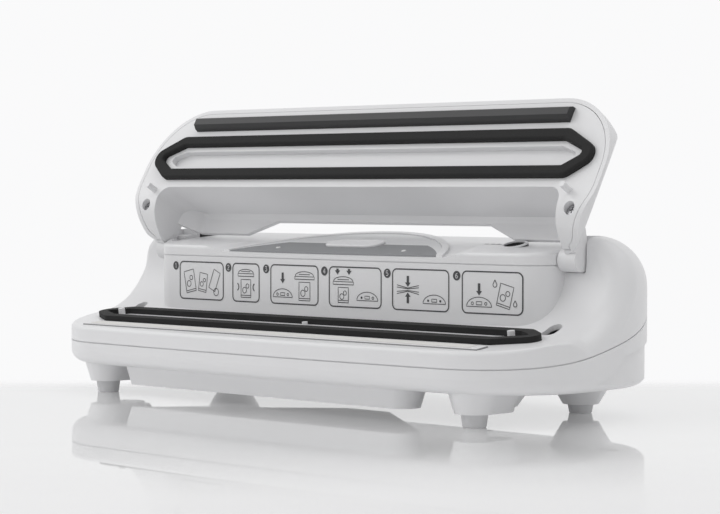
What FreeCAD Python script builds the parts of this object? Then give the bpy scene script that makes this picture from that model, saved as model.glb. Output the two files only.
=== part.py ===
import FreeCAD, Part
import math
import os

import Sketcher
from FreeCAD import Placement, Rotation, Vector

# Driving sizes in millimetres, slopes as plain ratios
SIZES = {
    "case_half": 192, "case_front": -75, "case_rear": 75, "front_corner": 58, "rear_corner": 64,
    "front_bow": 2600, "wall": 2.6,
    "floor_level": 17.5, "bottom_round": 8, "seam_level": 31, "seam_curve": 330, "seam_gap": 0.7,
    "hump_level": 96.5, "hump_round": 27, "ledge_level": 40, "ledge_back": -62,
    "platform_slope": 0.1405, "sweep_front": -21, "shoulder_front": 13.7,
    "rim_start": -56, "rim_front": 2.5, "rim_side": 12, "rim_top": 6,
    "belly_left": -126, "belly_right": 134, "belly_front": -63, "belly_rear": 27, "belly_rear_half": 18,
    "belly_level": 6.5, "belly_draft": 18,
    "foot_front_x": 145, "foot_front_y": -51, "foot_rear_x": 138, "foot_rear_y": 45,
    "foot_high": 7, "foot_rear_high": 5, "foot_radius": 6.6, "boss_draft": 17,
    "block_half": 153.2, "block_front": -12.3, "block_rear": 50, "block_bow": 3100, "block_corner": 18,
    "deck_level": 81, "deck_front_top": 87.4, "deck_slope": 0.09, "deck_rear": 45.6,
    "panel_lip": 84, "panel_slope": 0.2, "panel_radius": 92, "panel_rear": 40, "rim_wide": 4,
    "scoop_half": 87, "scoop_flare": 20,
    "hinge_y": 11, "hinge_z": 84, "pin_radius": 2.2, "pin_play": 0.05,
    "hood_in": 153.7, "hood_out": 165.5, "hood_radius": 6.2,
    "lid_half": 181, "lid_front": 84.5, "lid_corner": 42, "lid_rim": 2.5, "lid_top": 11,
    "arm_taper": 26, "arm_draw": 12, "arm_bend": 30,
    "lid_ridge_half": 149, "lid_ridge_front": 27, "room_half": 158.5, "room_front": 29.5,
    "lid_plane": -26.1, "lid_gap": 7.3, "skin": 2.5,
    "lid_rear_edge": 16.5, "notch_edge": 25.7, "notch_half": 84, "notch_flare": 22,
    "gasket_rear": 34.5, "gasket_front": 64, "gasket_wide": 6.6, "gasket_trim": 0.2,
    "upper_gasket_high": 3.7, "lower_gasket_high": 3.2,
    "gasket_tip": 178.5, "gasket_front_half": 152, "gasket_rear_half": 158,
    "strip_half": 147.5, "strip_place": 73.6, "strip_wide": 9, "strip_proud": 4.9, "bar_proud": 1,
    "pump_bore": 1.6, "button_long": 42, "button_wide": 14, "port_x": 112, "port_y": 20, "port_radius": 6,
}
TILT = math.degrees(math.atan(SIZES["platform_slope"]))
OPEN_LEAN = 30.4          # the open lid leans this far behind upright, in degrees
OPEN_TURN = TILT - (180 + TILT - (90 - OPEN_LEAN))

doc = FreeCAD.newDocument("vacuum_sealer")
sheet = doc.addObject("Spreadsheet::Sheet", "Sizes")
for row, (alias, number) in enumerate(SIZES.items(), 1):
    sheet.set("A%d" % row, alias)
    sheet.set("B%d" % row, str(number))
    sheet.setAlias("B%d" % row, alias)
doc.recompute()


class Size:
    """A number together with the sheet formula that gives it."""

    def __init__(self, number, formula, plain=False):
        self.number = number
        self.formula = formula
        self.plain = plain

    def combine(self, other, sign, number):
        other = as_size(other)
        if self.plain and other.plain:
            return as_size(number)
        return Size(number, "(%s %s %s)" % (self.formula, sign, other.formula))

    def __add__(self, other):
        return self.combine(other, "+", self.number + as_size(other).number)

    def __sub__(self, other):
        return self.combine(other, "-", self.number - as_size(other).number)

    def __mul__(self, other):
        return self.combine(other, "*", self.number * as_size(other).number)

    def __truediv__(self, other):
        return self.combine(other, "/", self.number / as_size(other).number)

    def __neg__(self):
        return as_size(0) - self


def as_size(value):
    return value if isinstance(value, Size) else Size(float(value), "%.9f" % value, True)


def cell(alias):
    return Size(float(SIZES[alias]), "Sizes." + alias)


def root(size):
    if size.plain:
        return as_size(math.sqrt(size.number))
    return Size(math.sqrt(size.number), "sqrt(%s)" % size.formula)


def bind(obj, prop, size):
    obj.setExpression(prop, as_size(size).formula)


# Sketches whose corners and radii are bound to the sheet
PLANES = {
    "XY": Rotation(),
    "XZ": Rotation(Vector(1, 0, 0), 90),
    "YZ": Rotation(Vector(1, 1, 1), 120),
}


def pin_point(sk, geo, pos, x, y):
    for kind, axis, size in (("DistanceX", -2, as_size(x)), ("DistanceY", -1, as_size(y))):
        if size.number == 0:
            sk.addConstraint(Sketcher.Constraint("PointOnObject", geo, pos, axis))
            continue
        index = sk.addConstraint(Sketcher.Constraint(kind, -1, 1, geo, pos, size.number))
        name = "%s_%d_%d" % (kind, geo, pos)
        sk.renameConstraint(index, name)
        bind(sk, "Constraints." + name, size)


def fix_radius(sk, geo, radius):
    index = sk.addConstraint(Sketcher.Constraint("Radius", geo, as_size(radius).number))
    sk.renameConstraint(index, "radius_%d" % geo)
    bind(sk, "Constraints.radius_%d" % geo, radius)


def arc_between(p, q, radius, left):
    """Minor arc from p to q that turns left or right; returns it and which end is p."""
    chord = q - p
    half = chord.Length / 2
    side = Vector(-chord.y, chord.x, 0).normalize() * math.sqrt(max(radius * radius - half * half, 0))
    centre = (p + q) * 0.5 + (side if left else -side)
    first, last = (p, q) if left else (q, p)
    start = math.atan2(first.y - centre.y, first.x - centre.x)
    end = math.atan2(last.y - centre.y, last.x - centre.x)
    if end <= start:
        end += 2 * math.pi
    arc = Part.ArcOfCircle(Part.Circle(centre, Vector(0, 0, 1), radius), start, end)
    return arc, (1 if left else 2)


def add_loop(sk, points, arcs=None):
    """Closed outline; arcs maps a stretch's number to (radius, turns left)."""
    arcs = arcs or {}
    spots = [Vector(as_size(x).number, as_size(y).number, 0) for x, y in points]
    count = len(spots)
    ends = []
    for i in range(count):
        p, q = spots[i], spots[(i + 1) % count]
        if i in arcs:
            radius, left = arcs[i]
            curve, p_end = arc_between(p, q, as_size(radius).number, left)
        else:
            curve, p_end = Part.LineSegment(p, q), 1
        ends.append((sk.addGeometry(curve, False), p_end))
    for i in range(count):
        before, before_end = ends[i - 1]
        geo, p_end = ends[i]
        sk.addConstraint(Sketcher.Constraint("Coincident", before, 3 - before_end, geo, p_end))
        pin_point(sk, geo, p_end, *points[i])
    for i, (radius, left) in arcs.items():
        fix_radius(sk, ends[i][0], radius)


def add_circle(sk, x, y, radius):
    centre = Vector(as_size(x).number, as_size(y).number, 0)
    geo = sk.addGeometry(Part.Circle(centre, Vector(0, 0, 1), as_size(radius).number), False)
    pin_point(sk, geo, 3, x, y)
    fix_radius(sk, geo, radius)


def sketch(name, plane, points, arcs=None, offset=0.0):
    sk = doc.addObject("Sketcher::SketchObject", name)
    turn = PLANES[plane]
    sk.Placement = Placement(turn.multVec(Vector(0, 0, offset)), turn)
    add_loop(sk, points, arcs)
    return sk


def rounded_path(corners):
    """Corners as (x, y, radius); gives points and tangent arcs with every corner rounded."""
    points, arcs = [], {}
    count = len(corners)
    for i, (x, y, radius) in enumerate(corners):
        x, y, radius = as_size(x), as_size(y), as_size(radius)
        if radius.number == 0:
            points.append((x, y))
            continue
        ways = []
        for other in (corners[i - 1], corners[(i + 1) % count]):
            dx, dy = as_size(other[0]) - x, as_size(other[1]) - y
            far = root(dx * dx + dy * dy)
            ways.append((dx / far, dy / far))
        (ax, ay), (bx, by) = ways
        spread = ax * bx + ay * by
        setback = radius * root((spread + 1) / (as_size(1) - spread))
        left = bx.number * ay.number - by.number * ax.number > 0
        arcs[len(points)] = (radius, left)
        points.append((x + ax * setback, y + ay * setback))
        points.append((x + bx * setback, y + by * setback))
    return points, arcs


def body(label, placement=None):
    obj = doc.addObject("PartDesign::Body", label)
    obj.Label = label
    obj.Placement = placement or Placement()
    return obj


def body_sketch(owner, role):
    sk = owner.newObject("Sketcher::SketchObject", owner.Name + "_outline")
    plane = [f for f in owner.Origin.OriginFeatures if f.Role == role][0]
    sk.AttachmentSupport = (plane, [""])
    sk.MapMode = "FlatFace"
    return sk


def pad(owner, sk, length, down=False):
    obj = owner.newObject("PartDesign::Pad", owner.Name + "_pad")
    obj.Profile = sk
    obj.Reversed = down
    bind(obj, "Length", length)
    return obj


def revolve(owner, sk):
    obj = owner.newObject("PartDesign::Revolution", owner.Name + "_turned")
    obj.Profile = sk
    obj.ReferenceAxis = (sk, ["V_Axis"])
    obj.Angle = 360
    return obj


def soften(owner, feature, pick, radius):
    doc.recompute()
    names = ["Edge%d" % i for i, e in enumerate(feature.Shape.Edges, 1) if pick(e)]
    obj = owner.newObject("PartDesign::Fillet", owner.Name + "_fillet")
    obj.Base = (feature, names)
    obj.Radius = radius
    return obj


# Solids at document level
def extrude(name, profile, direction, length, back=0, taper=0):
    obj = doc.addObject("Part::Extrusion", name)
    obj.Base = profile
    obj.DirMode = "Custom"
    obj.Dir = Vector(*direction)
    obj.Solid = True
    obj.TaperAngle = taper
    bind(obj, "LengthFwd", length)
    bind(obj, "LengthRev", back)
    return obj


def across(name, points, arcs=None, half=None):
    """Side profile in (y, z), drawn out to both sides of the middle."""
    half = half or cell("case_half") + 30
    return extrude(name, sketch(name + "_side", "YZ", points, arcs), (1, 0, 0), half, half)


def box(name, x, y, z, wide, deep, high, placement=None):
    obj = doc.addObject("Part::Box", name)
    for prop, size in (("Length", wide), ("Width", deep), ("Height", high)):
        bind(obj, prop, size)
    spot = Vector(*(as_size(v).number for v in (x, y, z)))
    obj.Placement = (placement or Placement()).multiply(Placement(spot, Rotation()))
    return obj


def rod(name, start, direction, radius, length, placement=None):
    obj = doc.addObject("Part::Cylinder", name)
    bind(obj, "Radius", radius)
    bind(obj, "Height", length)
    turn = Rotation(Vector(0, 0, 1), Vector(*direction))
    spot = Vector(*(as_size(v).number for v in start))
    obj.Placement = (placement or Placement()).multiply(Placement(spot, turn))
    return obj


def fuse(name, pieces):
    obj = doc.addObject("Part::MultiFuse", name)
    obj.Shapes = pieces
    return obj


def common(name, pieces):
    obj = doc.addObject("Part::MultiCommon", name)
    obj.Shapes = pieces
    return obj


def cut(name, base, tools):
    tools = tools if isinstance(tools, list) else [tools]
    obj = doc.addObject("Part::Cut", name)
    obj.Base = base
    obj.Tool = tools[0] if len(tools) == 1 else fuse(name + "_tools", tools)
    return obj


def round_edges(name, base, radius, pick):
    doc.recompute()
    chosen = [(i, radius, radius) for i, e in enumerate(base.Shape.Edges, 1) if pick(e)]
    obj = doc.addObject("Part::Fillet", name)
    obj.Base = base
    obj.Edges = chosen
    return obj


NODES = []


def node(obj, label):
    obj.Label = label
    NODES.append(obj)
    return obj


def middle(edge):
    return edge.valueAt((edge.FirstParameter + edge.LastParameter) / 2)


# The lid, gaskets and platform share a frame on the hinge axis, level with the lid's own plane
HINGE = Vector(0, SIZES["hinge_y"], SIZES["hinge_z"])
CLOSED = Placement(HINGE, Rotation(Vector(1, 0, 0), TILT))
OPEN = Placement(HINGE, Rotation(Vector(1, 0, 0), OPEN_TURN))
PLATFORM = cell("lid_plane") - cell("lid_gap")
SIDES = ((-1, "left"), (1, "right"))
PEG_X, PEG_Y = 163.5, -27.3
LID_SCREW_X, LID_SCREW_Y = 167, -17.5


def plan_outline(inset):
    """Case outline: bowed front, four round corners, drawn in by the inset."""
    inset = as_size(inset)
    reach = cell("front_bow") - cell("front_corner")
    side = cell("case_half") - cell("front_corner")
    bow_y = cell("case_front") + cell("front_bow")
    drop = root(reach * reach - side * side)
    front_x = side * (cell("front_bow") - inset) / reach
    front_y = bow_y - drop * (cell("front_bow") - inset) / reach
    half = cell("case_half") - inset
    rear = cell("case_rear") - inset
    rear_x = cell("case_half") - cell("rear_corner")
    rear_y = cell("case_rear") - cell("rear_corner")
    points = [(front_x, front_y), (half, bow_y - drop), (half, rear_y), (rear_x, rear),
              (-rear_x, rear), (-half, rear_y), (-half, bow_y - drop), (-front_x, front_y)]
    small, large = cell("front_corner") - inset, cell("rear_corner") - inset
    arcs = {0: (small, True), 2: (large, True), 4: (large, True), 6: (small, True),
            7: (cell("front_bow") - inset, True)}
    return points, arcs


def case_prism(name, inset, bottom, top):
    points, arcs = plan_outline(inset)
    plan = sketch(name + "_plan", "XY", points, arcs, as_size(bottom).number)
    return extrude(name, plan, (0, 0, 1), as_size(top) - bottom)


def above_sweep(name, inset):
    """Everything in front of and above the platform, its sweep and the hump's shoulders."""
    inset = as_size(inset)
    slope = cell("platform_slope")
    stretch = root(slope * slope + 1)
    sine, cosine = slope / stretch, as_size(1) / stretch
    start_y = cell("sweep_front")
    start_z = cell("ledge_level") + slope * (start_y - cell("ledge_back"))
    radius = (cell("shoulder_front") - start_y) / (as_size(1) - sine)
    knee = cell("ledge_back") + inset * sine + inset * (cosine - 1) / slope
    high, low = as_size(140), as_size(-120)
    points, arcs = rounded_path([(low, cell("ledge_level") - inset, 0),
                                 (knee, cell("ledge_level") - inset, inset + 90),
                                 (start_y + inset * sine, start_z - inset * cosine, 0),
                                 (cell("shoulder_front") + inset, start_z + radius * cosine, 0),
                                 (cell("shoulder_front") + inset, high, 0), (low, high, 0)])
    arcs[3] = (radius + inset, True)
    return across(name, points, arcs)


def seam_side(name, drop, above):
    """Side of the case above or below the parting line, which curves up towards the rear."""
    start = cell("case_front") - 10
    level = cell("seam_level") - drop
    rear = cell("case_rear") + 10
    run = rear - cell("case_front")
    rise = cell("seam_curve") - root(cell("seam_curve") * cell("seam_curve") - run * run)
    far = as_size(150 if above else -20)
    points = [(start, level), (cell("case_front"), level), (rear, level + rise), (rear, far), (start, far)]
    return across(name, points, {1: (cell("seam_curve"), True)})


def block_prism(name, inset, bottom, top, rear):
    """Block between the hinge arms: a bowed front wall with round corners."""
    inset = as_size(inset)
    half = cell("block_half") - inset
    bow = cell("block_bow") - inset
    corner = cell("block_corner") - inset
    bow_y = cell("block_front") + cell("block_bow")
    reach = cell("block_bow") - cell("block_corner")
    side = cell("block_half") - cell("block_corner")
    drop = root(reach * reach - side * side)
    front_x, front_y = side * bow / reach, bow_y - drop * bow / reach
    points = [(front_x, front_y), (half, bow_y - drop), (half, rear), (-half, rear),
              (-half, bow_y - drop), (-front_x, front_y)]
    plan = sketch(name + "_plan", "XY", points,
                  {0: (corner, True), 4: (corner, True), 5: (bow, True)}, as_size(bottom).number)
    return extrude(name, plan, (0, 0, 1), as_size(top) - bottom)


# Gaskets: one hexagonal loop used twice, on the platform and under the lid
OUTER_BEND, INNER_BEND = 7.5, 2.5


def loop_points(inset):
    """Corners of the gasket loop, in the hinge frame, front towards minus y."""
    inset = as_size(inset)
    rear = -(cell("gasket_rear") + inset)
    front = -(cell("gasket_front") - inset)
    middle_y = (cell("gasket_rear") + cell("gasket_front")) / -2
    tip = cell("gasket_tip") - inset * 1.65
    front_half = cell("gasket_front_half") - inset * 0.35
    rear_half = cell("gasket_rear_half") - inset * 0.5
    return [(-front_half, front), (front_half, front), (tip, middle_y), (rear_half, rear),
            (-rear_half, rear), (-tip, middle_y)]


def gasket(label, placement, edges, level, high, face, bend):
    """Foam loop between two insets, with round bends; the free face may be rounded too."""
    owner = body(label, placement)
    sk = body_sketch(owner, "XY_Plane")
    for inset, turn in zip(edges, (OUTER_BEND, INNER_BEND)):
        add_loop(sk, *rounded_path([(x, y, turn) for x, y in loop_points(inset)]))
    ring = pad(owner, sk, high)
    sk.AttachmentOffset = Placement(Vector(0, 0, level.number), Rotation())
    if bend:
        soften(owner, ring, lambda e: abs(middle(e).z - face.number) < 0.01, bend)
    node(owner, label)


def make_gaskets():
    trim, wide = cell("gasket_trim"), cell("gasket_wide")
    proud = cell("lower_gasket_high")
    gasket("lower_gasket", CLOSED, (trim, wide - trim), PLATFORM - 1.2, proud + 1.2, PLATFORM + proud, 0)
    proud = cell("upper_gasket_high")
    bottom = cell("lid_plane") - proud
    gasket("upper_gasket", OPEN, (as_size(0), wide), bottom, proud, bottom, 1.5)


def loop_prism(name, inset, bottom, high, placement):
    plan = doc.addObject("Sketcher::SketchObject", name + "_plan")
    bend = max(OUTER_BEND - as_size(inset).number, INNER_BEND)
    add_loop(plan, *rounded_path([(x, y, bend) for x, y in loop_points(inset)]))
    obj = extrude(name, plan, (0, 0, 1), high)
    plan.Placement = Placement(Vector(0, 0, as_size(bottom).number), Rotation())
    obj.Placement = placement
    return obj


POST_SPOTS = [(166, -30), (166, 36), (56, 63)]


def screw_spots():
    """Places of the case screws, with the height of the parting line there."""
    spots = []
    for x, y in POST_SPOTS:
        run = y - SIZES["case_front"]
        join = SIZES["seam_level"] + SIZES["seam_curve"] - math.sqrt(SIZES["seam_curve"] ** 2 - run ** 2)
        spots += [(sign * x, y, join) for sign, side in SIDES]
    return spots


def rim_radius(spot):
    """Rounding of the rim: tight along the front, full at the sides, softer over the hump."""
    along = (spot.y - SIZES["rim_start"]) / (SIZES["shoulder_front"] - SIZES["rim_start"])
    radius = SIZES["rim_front"] + (SIZES["rim_side"] - SIZES["rim_front"]) * min(max(along, 0), 1)
    over = max(0, spot.z - 85) / (SIZES["hump_level"] - 85)
    return radius + (SIZES["rim_top"] - SIZES["rim_side"]) * min(over, 1)


def on_rim(edge):
    """Edge where the sweep's surfaces meet the case's outside."""
    spot = middle(edge)
    if spot.z < SIZES["ledge_level"] - 0.1 or spot.y > SIZES["shoulder_front"] + 0.1:
        return False
    if abs(spot.x) < 1:
        return spot.y < SIZES["case_front"] + 1 or spot.z > SIZES["hump_level"] - 1
    plain = edge.Curve.TypeId in ("Part::GeomLine", "Part::GeomCircle")
    return not (plain and abs(spot.x) > SIZES["case_half"] - 1 and spot.y > 8)


def inner_front_edge(edge):
    spot = middle(edge)
    level = SIZES["ledge_level"] - SIZES["wall"]
    return abs(spot.x) < 1 and spot.y < SIZES["case_front"] + 4 and abs(spot.z - level) < 0.1


def round_rim(name, base):
    doc.recompute()
    chosen = []
    for i, edge in enumerate(base.Shape.Edges, 1):
        if on_rim(edge):
            ends = [edge.valueAt(edge.FirstParameter), edge.valueAt(edge.LastParameter)]
            if edge.Orientation == "Reversed":
                ends.reverse()
            chosen.append((i, rim_radius(ends[0]), rim_radius(ends[1])))
    obj = doc.addObject("Part::Fillet", name)
    obj.Base = base
    obj.Edges = chosen
    return obj


def peg_hole(name, sign):
    points, arcs = rounded_path([(sign * PEG_X - 4, PEG_Y - 6.5, 3.9), (sign * PEG_X + 4, PEG_Y - 6.5, 3.9),
                                 (sign * PEG_X + 4, PEG_Y + 6.5, 3.9), (sign * PEG_X - 4, PEG_Y + 6.5, 3.9)])
    obj = extrude(name, sketch(name + "_plan", "XY", points, arcs, PLATFORM.number - 9), (0, 0, 1), 20)
    obj.Placement = CLOSED
    return obj


def shoulder_room(name, sign, grow):
    """Room for the swing of a hinge hood and its neck, open at the top."""
    start = sign * SIZES["block_half"]
    reach = cell("hood_out") + 0.9 - cell("block_half") + grow
    barrel = rod(name + "_barrel", (start, cell("hinge_y"), cell("hinge_z")), (sign, 0, 0),
                 cell("hood_radius") + 0.7 + grow, reach)
    points = [(2 - grow, 84 - grow), (18.5 + grow, 84 - grow), (18.5 + grow, 92 - grow),
              (28 + grow, 92.8 - grow), (28 + grow, 112), (2 - grow, 112)]
    slot = extrude(name + "_slot", sketch(name + "_side", "YZ", points, None, start), (sign, 0, 0), reach)
    return fuse(name, [barrel, slot])


def above_deck_line(name, drop):
    """Everything above the deck's slope carried on to the rear, over the block's width."""
    slope, start = cell("deck_slope"), cell("deck_rear")
    level = cell("deck_front_top") + slope * (start - cell("block_front")) - drop
    points = [(start, level), (start + 40, level + slope * 40), (start + 40, 130), (start, 130)]
    return across(name, points, None, cell("block_half"))


def make_upper_case():
    outer = case_prism("upper_block", 0, 20, cell("hump_level"))
    outer = round_edges("upper_rounded", outer, SIZES["hump_round"],
                        lambda e: middle(e).z > SIZES["hump_level"] - 0.1)
    swept = cut("upper_swept", outer, above_sweep("upper_sweep", 0))
    swept = round_rim("upper_rim", swept)
    block = block_prism("upper_wall", 0, 38, cell("deck_level"), cell("block_rear"))
    inside = case_prism("upper_inside", cell("wall"), 10, cell("hump_level") - cell("wall"))
    inside = round_edges("upper_inside_round", inside, SIZES["hump_round"] - SIZES["wall"],
                         lambda e: middle(e).z > SIZES["hump_level"] - SIZES["wall"] - 0.1)
    hollow = cut("upper_hollow", inside, above_sweep("upper_under", cell("wall")))
    hollow = round_edges("upper_hollow_rim", hollow, SIZES["rim_side"] - SIZES["wall"], inner_front_edge)
    core = block_prism("upper_wall_core", cell("wall"), 30, 120, cell("block_rear") - 10)
    deck_room = block_prism("upper_deck_room", 0, cell("deck_level"), 130, cell("deck_rear") + 0.1)
    jackets = [shoulder_room("jacket_" + side, sign, 2.4) for sign, side in SIDES]
    jackets.append(above_deck_line("hump_skin", cell("wall")))
    pockets = [shoulder_room("pocket_" + side, sign, 0) for sign, side in SIDES]
    pockets.append(above_deck_line("hump_trim", 0))
    hollow = cut("upper_room", fuse("upper_room_all", [hollow, core]), jackets)
    lands = [box("channel_land", -156, -60, PLATFORM - 8, 312, 21.5, 7.2, CLOSED),
             box("bar_land", -160, -80.6, PLATFORM - 5.6, 320, 14, 5, CLOSED)]
    posts = [rod("upper_post_%d" % i, (x, y, join - 8), (0, 0, 1), 4.5, 17 if y < 0 else 70)
             for i, (x, y, join) in enumerate(screw_spots())]
    lands += switch_ribs()
    inner = common("inner_parts", [fuse("lands_posts", lands + posts), inside])
    shell = fuse("upper_shell", [cut("upper_open", fuse("upper_full", [swept, block]), hollow), inner])
    trim, wide = cell("gasket_trim"), cell("gasket_wide")
    channel = loop_prism("channel", wide + 0.6, PLATFORM - 5.2, 9, CLOSED)
    groove = cut("groove", loop_prism("groove_out", trim - 0.1, PLATFORM - 1.2, 9, CLOSED),
                 loop_prism("groove_in", wide - trim + 0.1, PLATFORM - 3, 12, CLOSED))
    bar_room = box("bar_room", -(cell("strip_half") + 8.2), -(cell("strip_place") + 4.7), PLATFORM - 3,
                   (cell("strip_half") + 8.2) * 2, 9.4, 9, CLOSED)
    holes = [peg_hole("peg_hole_" + side, sign) for sign, side in SIDES]
    nipple = rod("channel_drain", (-60, -49.2, PLATFORM - 12), (0, 0, 1), 2.5, 12, CLOSED)
    screw_holes = [rod("post_hole_%d" % i, (x, y, join - 9), (0, 0, 1), 1.55, 16)
                   for i, (x, y, join) in enumerate(screw_spots())]
    above = seam_side("upper_above_seam", 0, True)
    trimmed = common("upper_trimmed", [shell, above])
    final = cut("upper_cut", trimmed, [deck_room, channel, groove, bar_room, nipple]
                + pockets + holes + screw_holes)
    stops = [rod("bag_stop_" + side, (sign * 154, -48.5, PLATFORM - 5.6), (0, 0, 1), 2, 10.4, CLOSED)
             for sign, side in SIDES]
    stops.append(rod("bag_stop_middle", (0, -44.8, PLATFORM - 5.6), (0, 0, 1), 1.6, 7.8, CLOSED))
    node(fuse("upper_case", [final] + stops), "upper_case")


def tapered(name, points, arcs, level, length, draft):
    plan = sketch(name + "_plan", "XY", points, arcs, level)
    return extrude(name, plan, (0, 0, -1), length, 0, -draft)


def oblong(x, front, rear, radius):
    points = [(x + radius, front), (x + radius, rear), (x, rear + radius), (x - radius, rear),
              (x - radius, front), (x, front - radius)]
    return points, {i: (radius, True) for i in (1, 2, 4, 5)}


def belly(name, inset, level, length):
    """Tub under the floor; its ends run in towards the rear, the left one from a tighter corner."""
    right, left = SIZES["belly_right"] - inset * 2, SIZES["belly_left"] + inset * 2
    front, rear = SIZES["belly_front"] + inset, SIZES["belly_rear"] - inset
    rear_half = SIZES["belly_rear_half"]
    points, arcs = rounded_path([(right, front, 14), (rear_half, rear, 10), (-rear_half, rear, 10),
                                 (left, front, 4)])
    return tapered(name, points, arcs, level, length, SIZES["belly_draft"])


def foot_bosses(name, inset, level, lift):
    """Hollow bosses down to the feet, with their bottoms lifted by the floor's thickness for the insides."""
    bosses = []
    draft = SIZES["boss_draft"]
    front_long, rear_long = level - SIZES["foot_high"] - lift, level - SIZES["foot_rear_high"] - lift
    for sign, side in SIDES:
        x, y = sign * SIZES["foot_front_x"], SIZES["foot_front_y"]
        points, arcs = oblong(x, y, y + 15, 14.2 - inset)
        bosses.append(tapered("%s_front_%s" % (name, side), points, arcs, level, front_long, draft))
        points, arcs = oblong(x, y + 6, y + 25, 13.4 - inset)
        bosses.append(tapered("%s_heel_%s" % (name, side), points, arcs, level, front_long - 2, draft + 19))
        x, y = sign * SIZES["foot_rear_x"], SIZES["foot_rear_y"]
        points, arcs = oblong(x, y, y + 0.5, 18.4 - inset)
        bosses.append(tapered("%s_rear_%s" % (name, side), points, arcs, level, rear_long, draft + 14))
    return bosses


def make_lower_case():
    floor = SIZES["floor_level"]
    outer = case_prism("lower_block", 0, floor, 90)
    outer = round_edges("lower_rounded", outer, SIZES["bottom_round"], lambda e: middle(e).z < floor + 0.1)
    below = belly("belly_outer", 0, floor + 2, floor + 2 - SIZES["belly_level"])
    bosses = foot_bosses("boss", 0, floor + 2, 0)
    inside = case_prism("lower_inside", 3.2, floor + SIZES["wall"], 95)
    inside = round_edges("lower_inside_round", inside, SIZES["bottom_round"] - 3,
                         lambda e: middle(e).z < floor + SIZES["wall"] + 0.1)
    belly_core = belly("belly_inner", SIZES["wall"], floor + 3, floor + 3 - SIZES["belly_level"] - SIZES["wall"])
    boss_cores = foot_bosses("boss_core", SIZES["wall"], floor + 3, 3)
    body_outer = fuse("lower_full", [outer, below] + bosses)
    shell = cut("lower_shell", body_outer, [inside, belly_core] + boss_cores)
    seats = [rod("lower_post_%d" % i, (x, y, floor), (0, 0, 1), 5.5, join + 8 - floor)
             for i, (x, y, join) in enumerate(screw_spots())]
    seats += floor_seats()
    shell = fuse("lower_posts", [shell, common("lower_seats", [fuse("seat_rods", seats), body_outer])])
    sinks = [rod("screw_sink_%d" % i, (x, y, floor - 1), (0, 0, 1), 3.6, join - 5 - floor)
             for i, (x, y, join) in enumerate(screw_spots())]
    ways = [rod("screw_way_%d" % i, (x, y, floor), (0, 0, 1), 1.8, join + 8 - floor)
            for i, (x, y, join) in enumerate(screw_spots())]
    ways.append(rod("gland_way", (GLAND_X, 60, GLAND_Z), (0, 1, 0), 6, 30))
    below_seam = seam_side("lower_below_seam", 0, False)
    shadow = common("shadow_gap", [cut("shadow_ring", case_prism("shadow_out", -1, 20, 90),
                                       case_prism("shadow_in", 0.9, 15, 95)),
                                   cut("shadow_band", seam_side("shadow_high", 0, False),
                                       seam_side("shadow_low", cell("seam_gap"), False))])
    crease_points = [(-26, 10), (80, 10), (80, 46), (14, 35.5), (-26, 17.6)]
    crease = common("crease_step", [cut("crease_ring", case_prism("crease_out", -1, 10, 90),
                                        case_prism("crease_in", 1.3, 5, 95)),
                                    across("crease_side", crease_points, {3: (60, False)})])
    trimmed = common("lower_trimmed", [shell, below_seam])
    node(cut("lower_case", trimmed, [shadow, crease] + sinks + ways), "lower_case")


def panel_plane(name, lift, under):
    """Half space below or above the control panel's sloping plane."""
    slope, start = cell("panel_slope"), cell("block_front")
    at_front = cell("panel_lip") + lift - slope * 30
    at_rear = cell("panel_lip") + lift + slope * 100
    far = as_size(40 if under else 140)
    points = [(start - 30, at_front), (start + 100, at_rear), (start + 100, far), (start - 30, far)]
    return across(name, points)


def half_moon(name, grow, bottom, high):
    """Round disc whose front is cut away by the block's front wall."""
    centre_y = cell("panel_rear") - cell("panel_radius")
    return rod(name, (0, centre_y, bottom), (0, 0, 1), cell("panel_radius") + grow, high)


def panel_place(x, y, lift=0.0):
    """Placement on the panel's slope, above the point (x, y)."""
    level = SIZES["panel_lip"] + SIZES["panel_slope"] * (y - SIZES["block_front"]) + lift
    tip = math.degrees(math.atan(SIZES["panel_slope"]))
    return Placement(Vector(x, y, level), Rotation(Vector(1, 0, 0), tip))


BUTTON_Y = 12
LAMP_X, LAMP_Y, LAMP_RADIUS = 50, -1, 1.5
PORT_TILT, PORT_WALL = 14, 1.6
PIN_IN, PIN_LONG = 140, 22.4


def port_place():
    """Accessory port: its face tips forward, with the near edge level with the deck."""
    reach = SIZES["port_radius"] + PORT_WALL
    tip = math.radians(PORT_TILT)
    near = SIZES["port_y"] - reach * math.cos(tip)
    return Placement(Vector(SIZES["port_x"], SIZES["port_y"], deck_height(near) + reach * math.sin(tip)),
                     Rotation(Vector(1, 0, 0), PORT_TILT))


def stadium(half, radius):
    run = half - radius
    points = [(run, -radius), (half, 0), (run, radius), (-run, radius), (-half, 0), (-run, -radius)]
    return points, {i: (radius, True) for i in (0, 1, 3, 4)}


def stadium_hole(name, grow, place):
    points, arcs = stadium(SIZES["button_long"] / 2 + grow, SIZES["button_wide"] / 2 + grow)
    obj = extrude(name, sketch(name + "_plan", "XY", points, arcs, -12), (0, 0, 1), 30)
    obj.Placement = place
    return obj


def deck_height(y):
    return SIZES["deck_front_top"] + SIZES["deck_slope"] * (y - SIZES["block_front"])


def on_deck_edge(edge):
    spot = middle(edge)
    return abs(spot.z - deck_height(spot.y)) < 0.01 and spot.y < SIZES["deck_rear"] - 1


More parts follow.
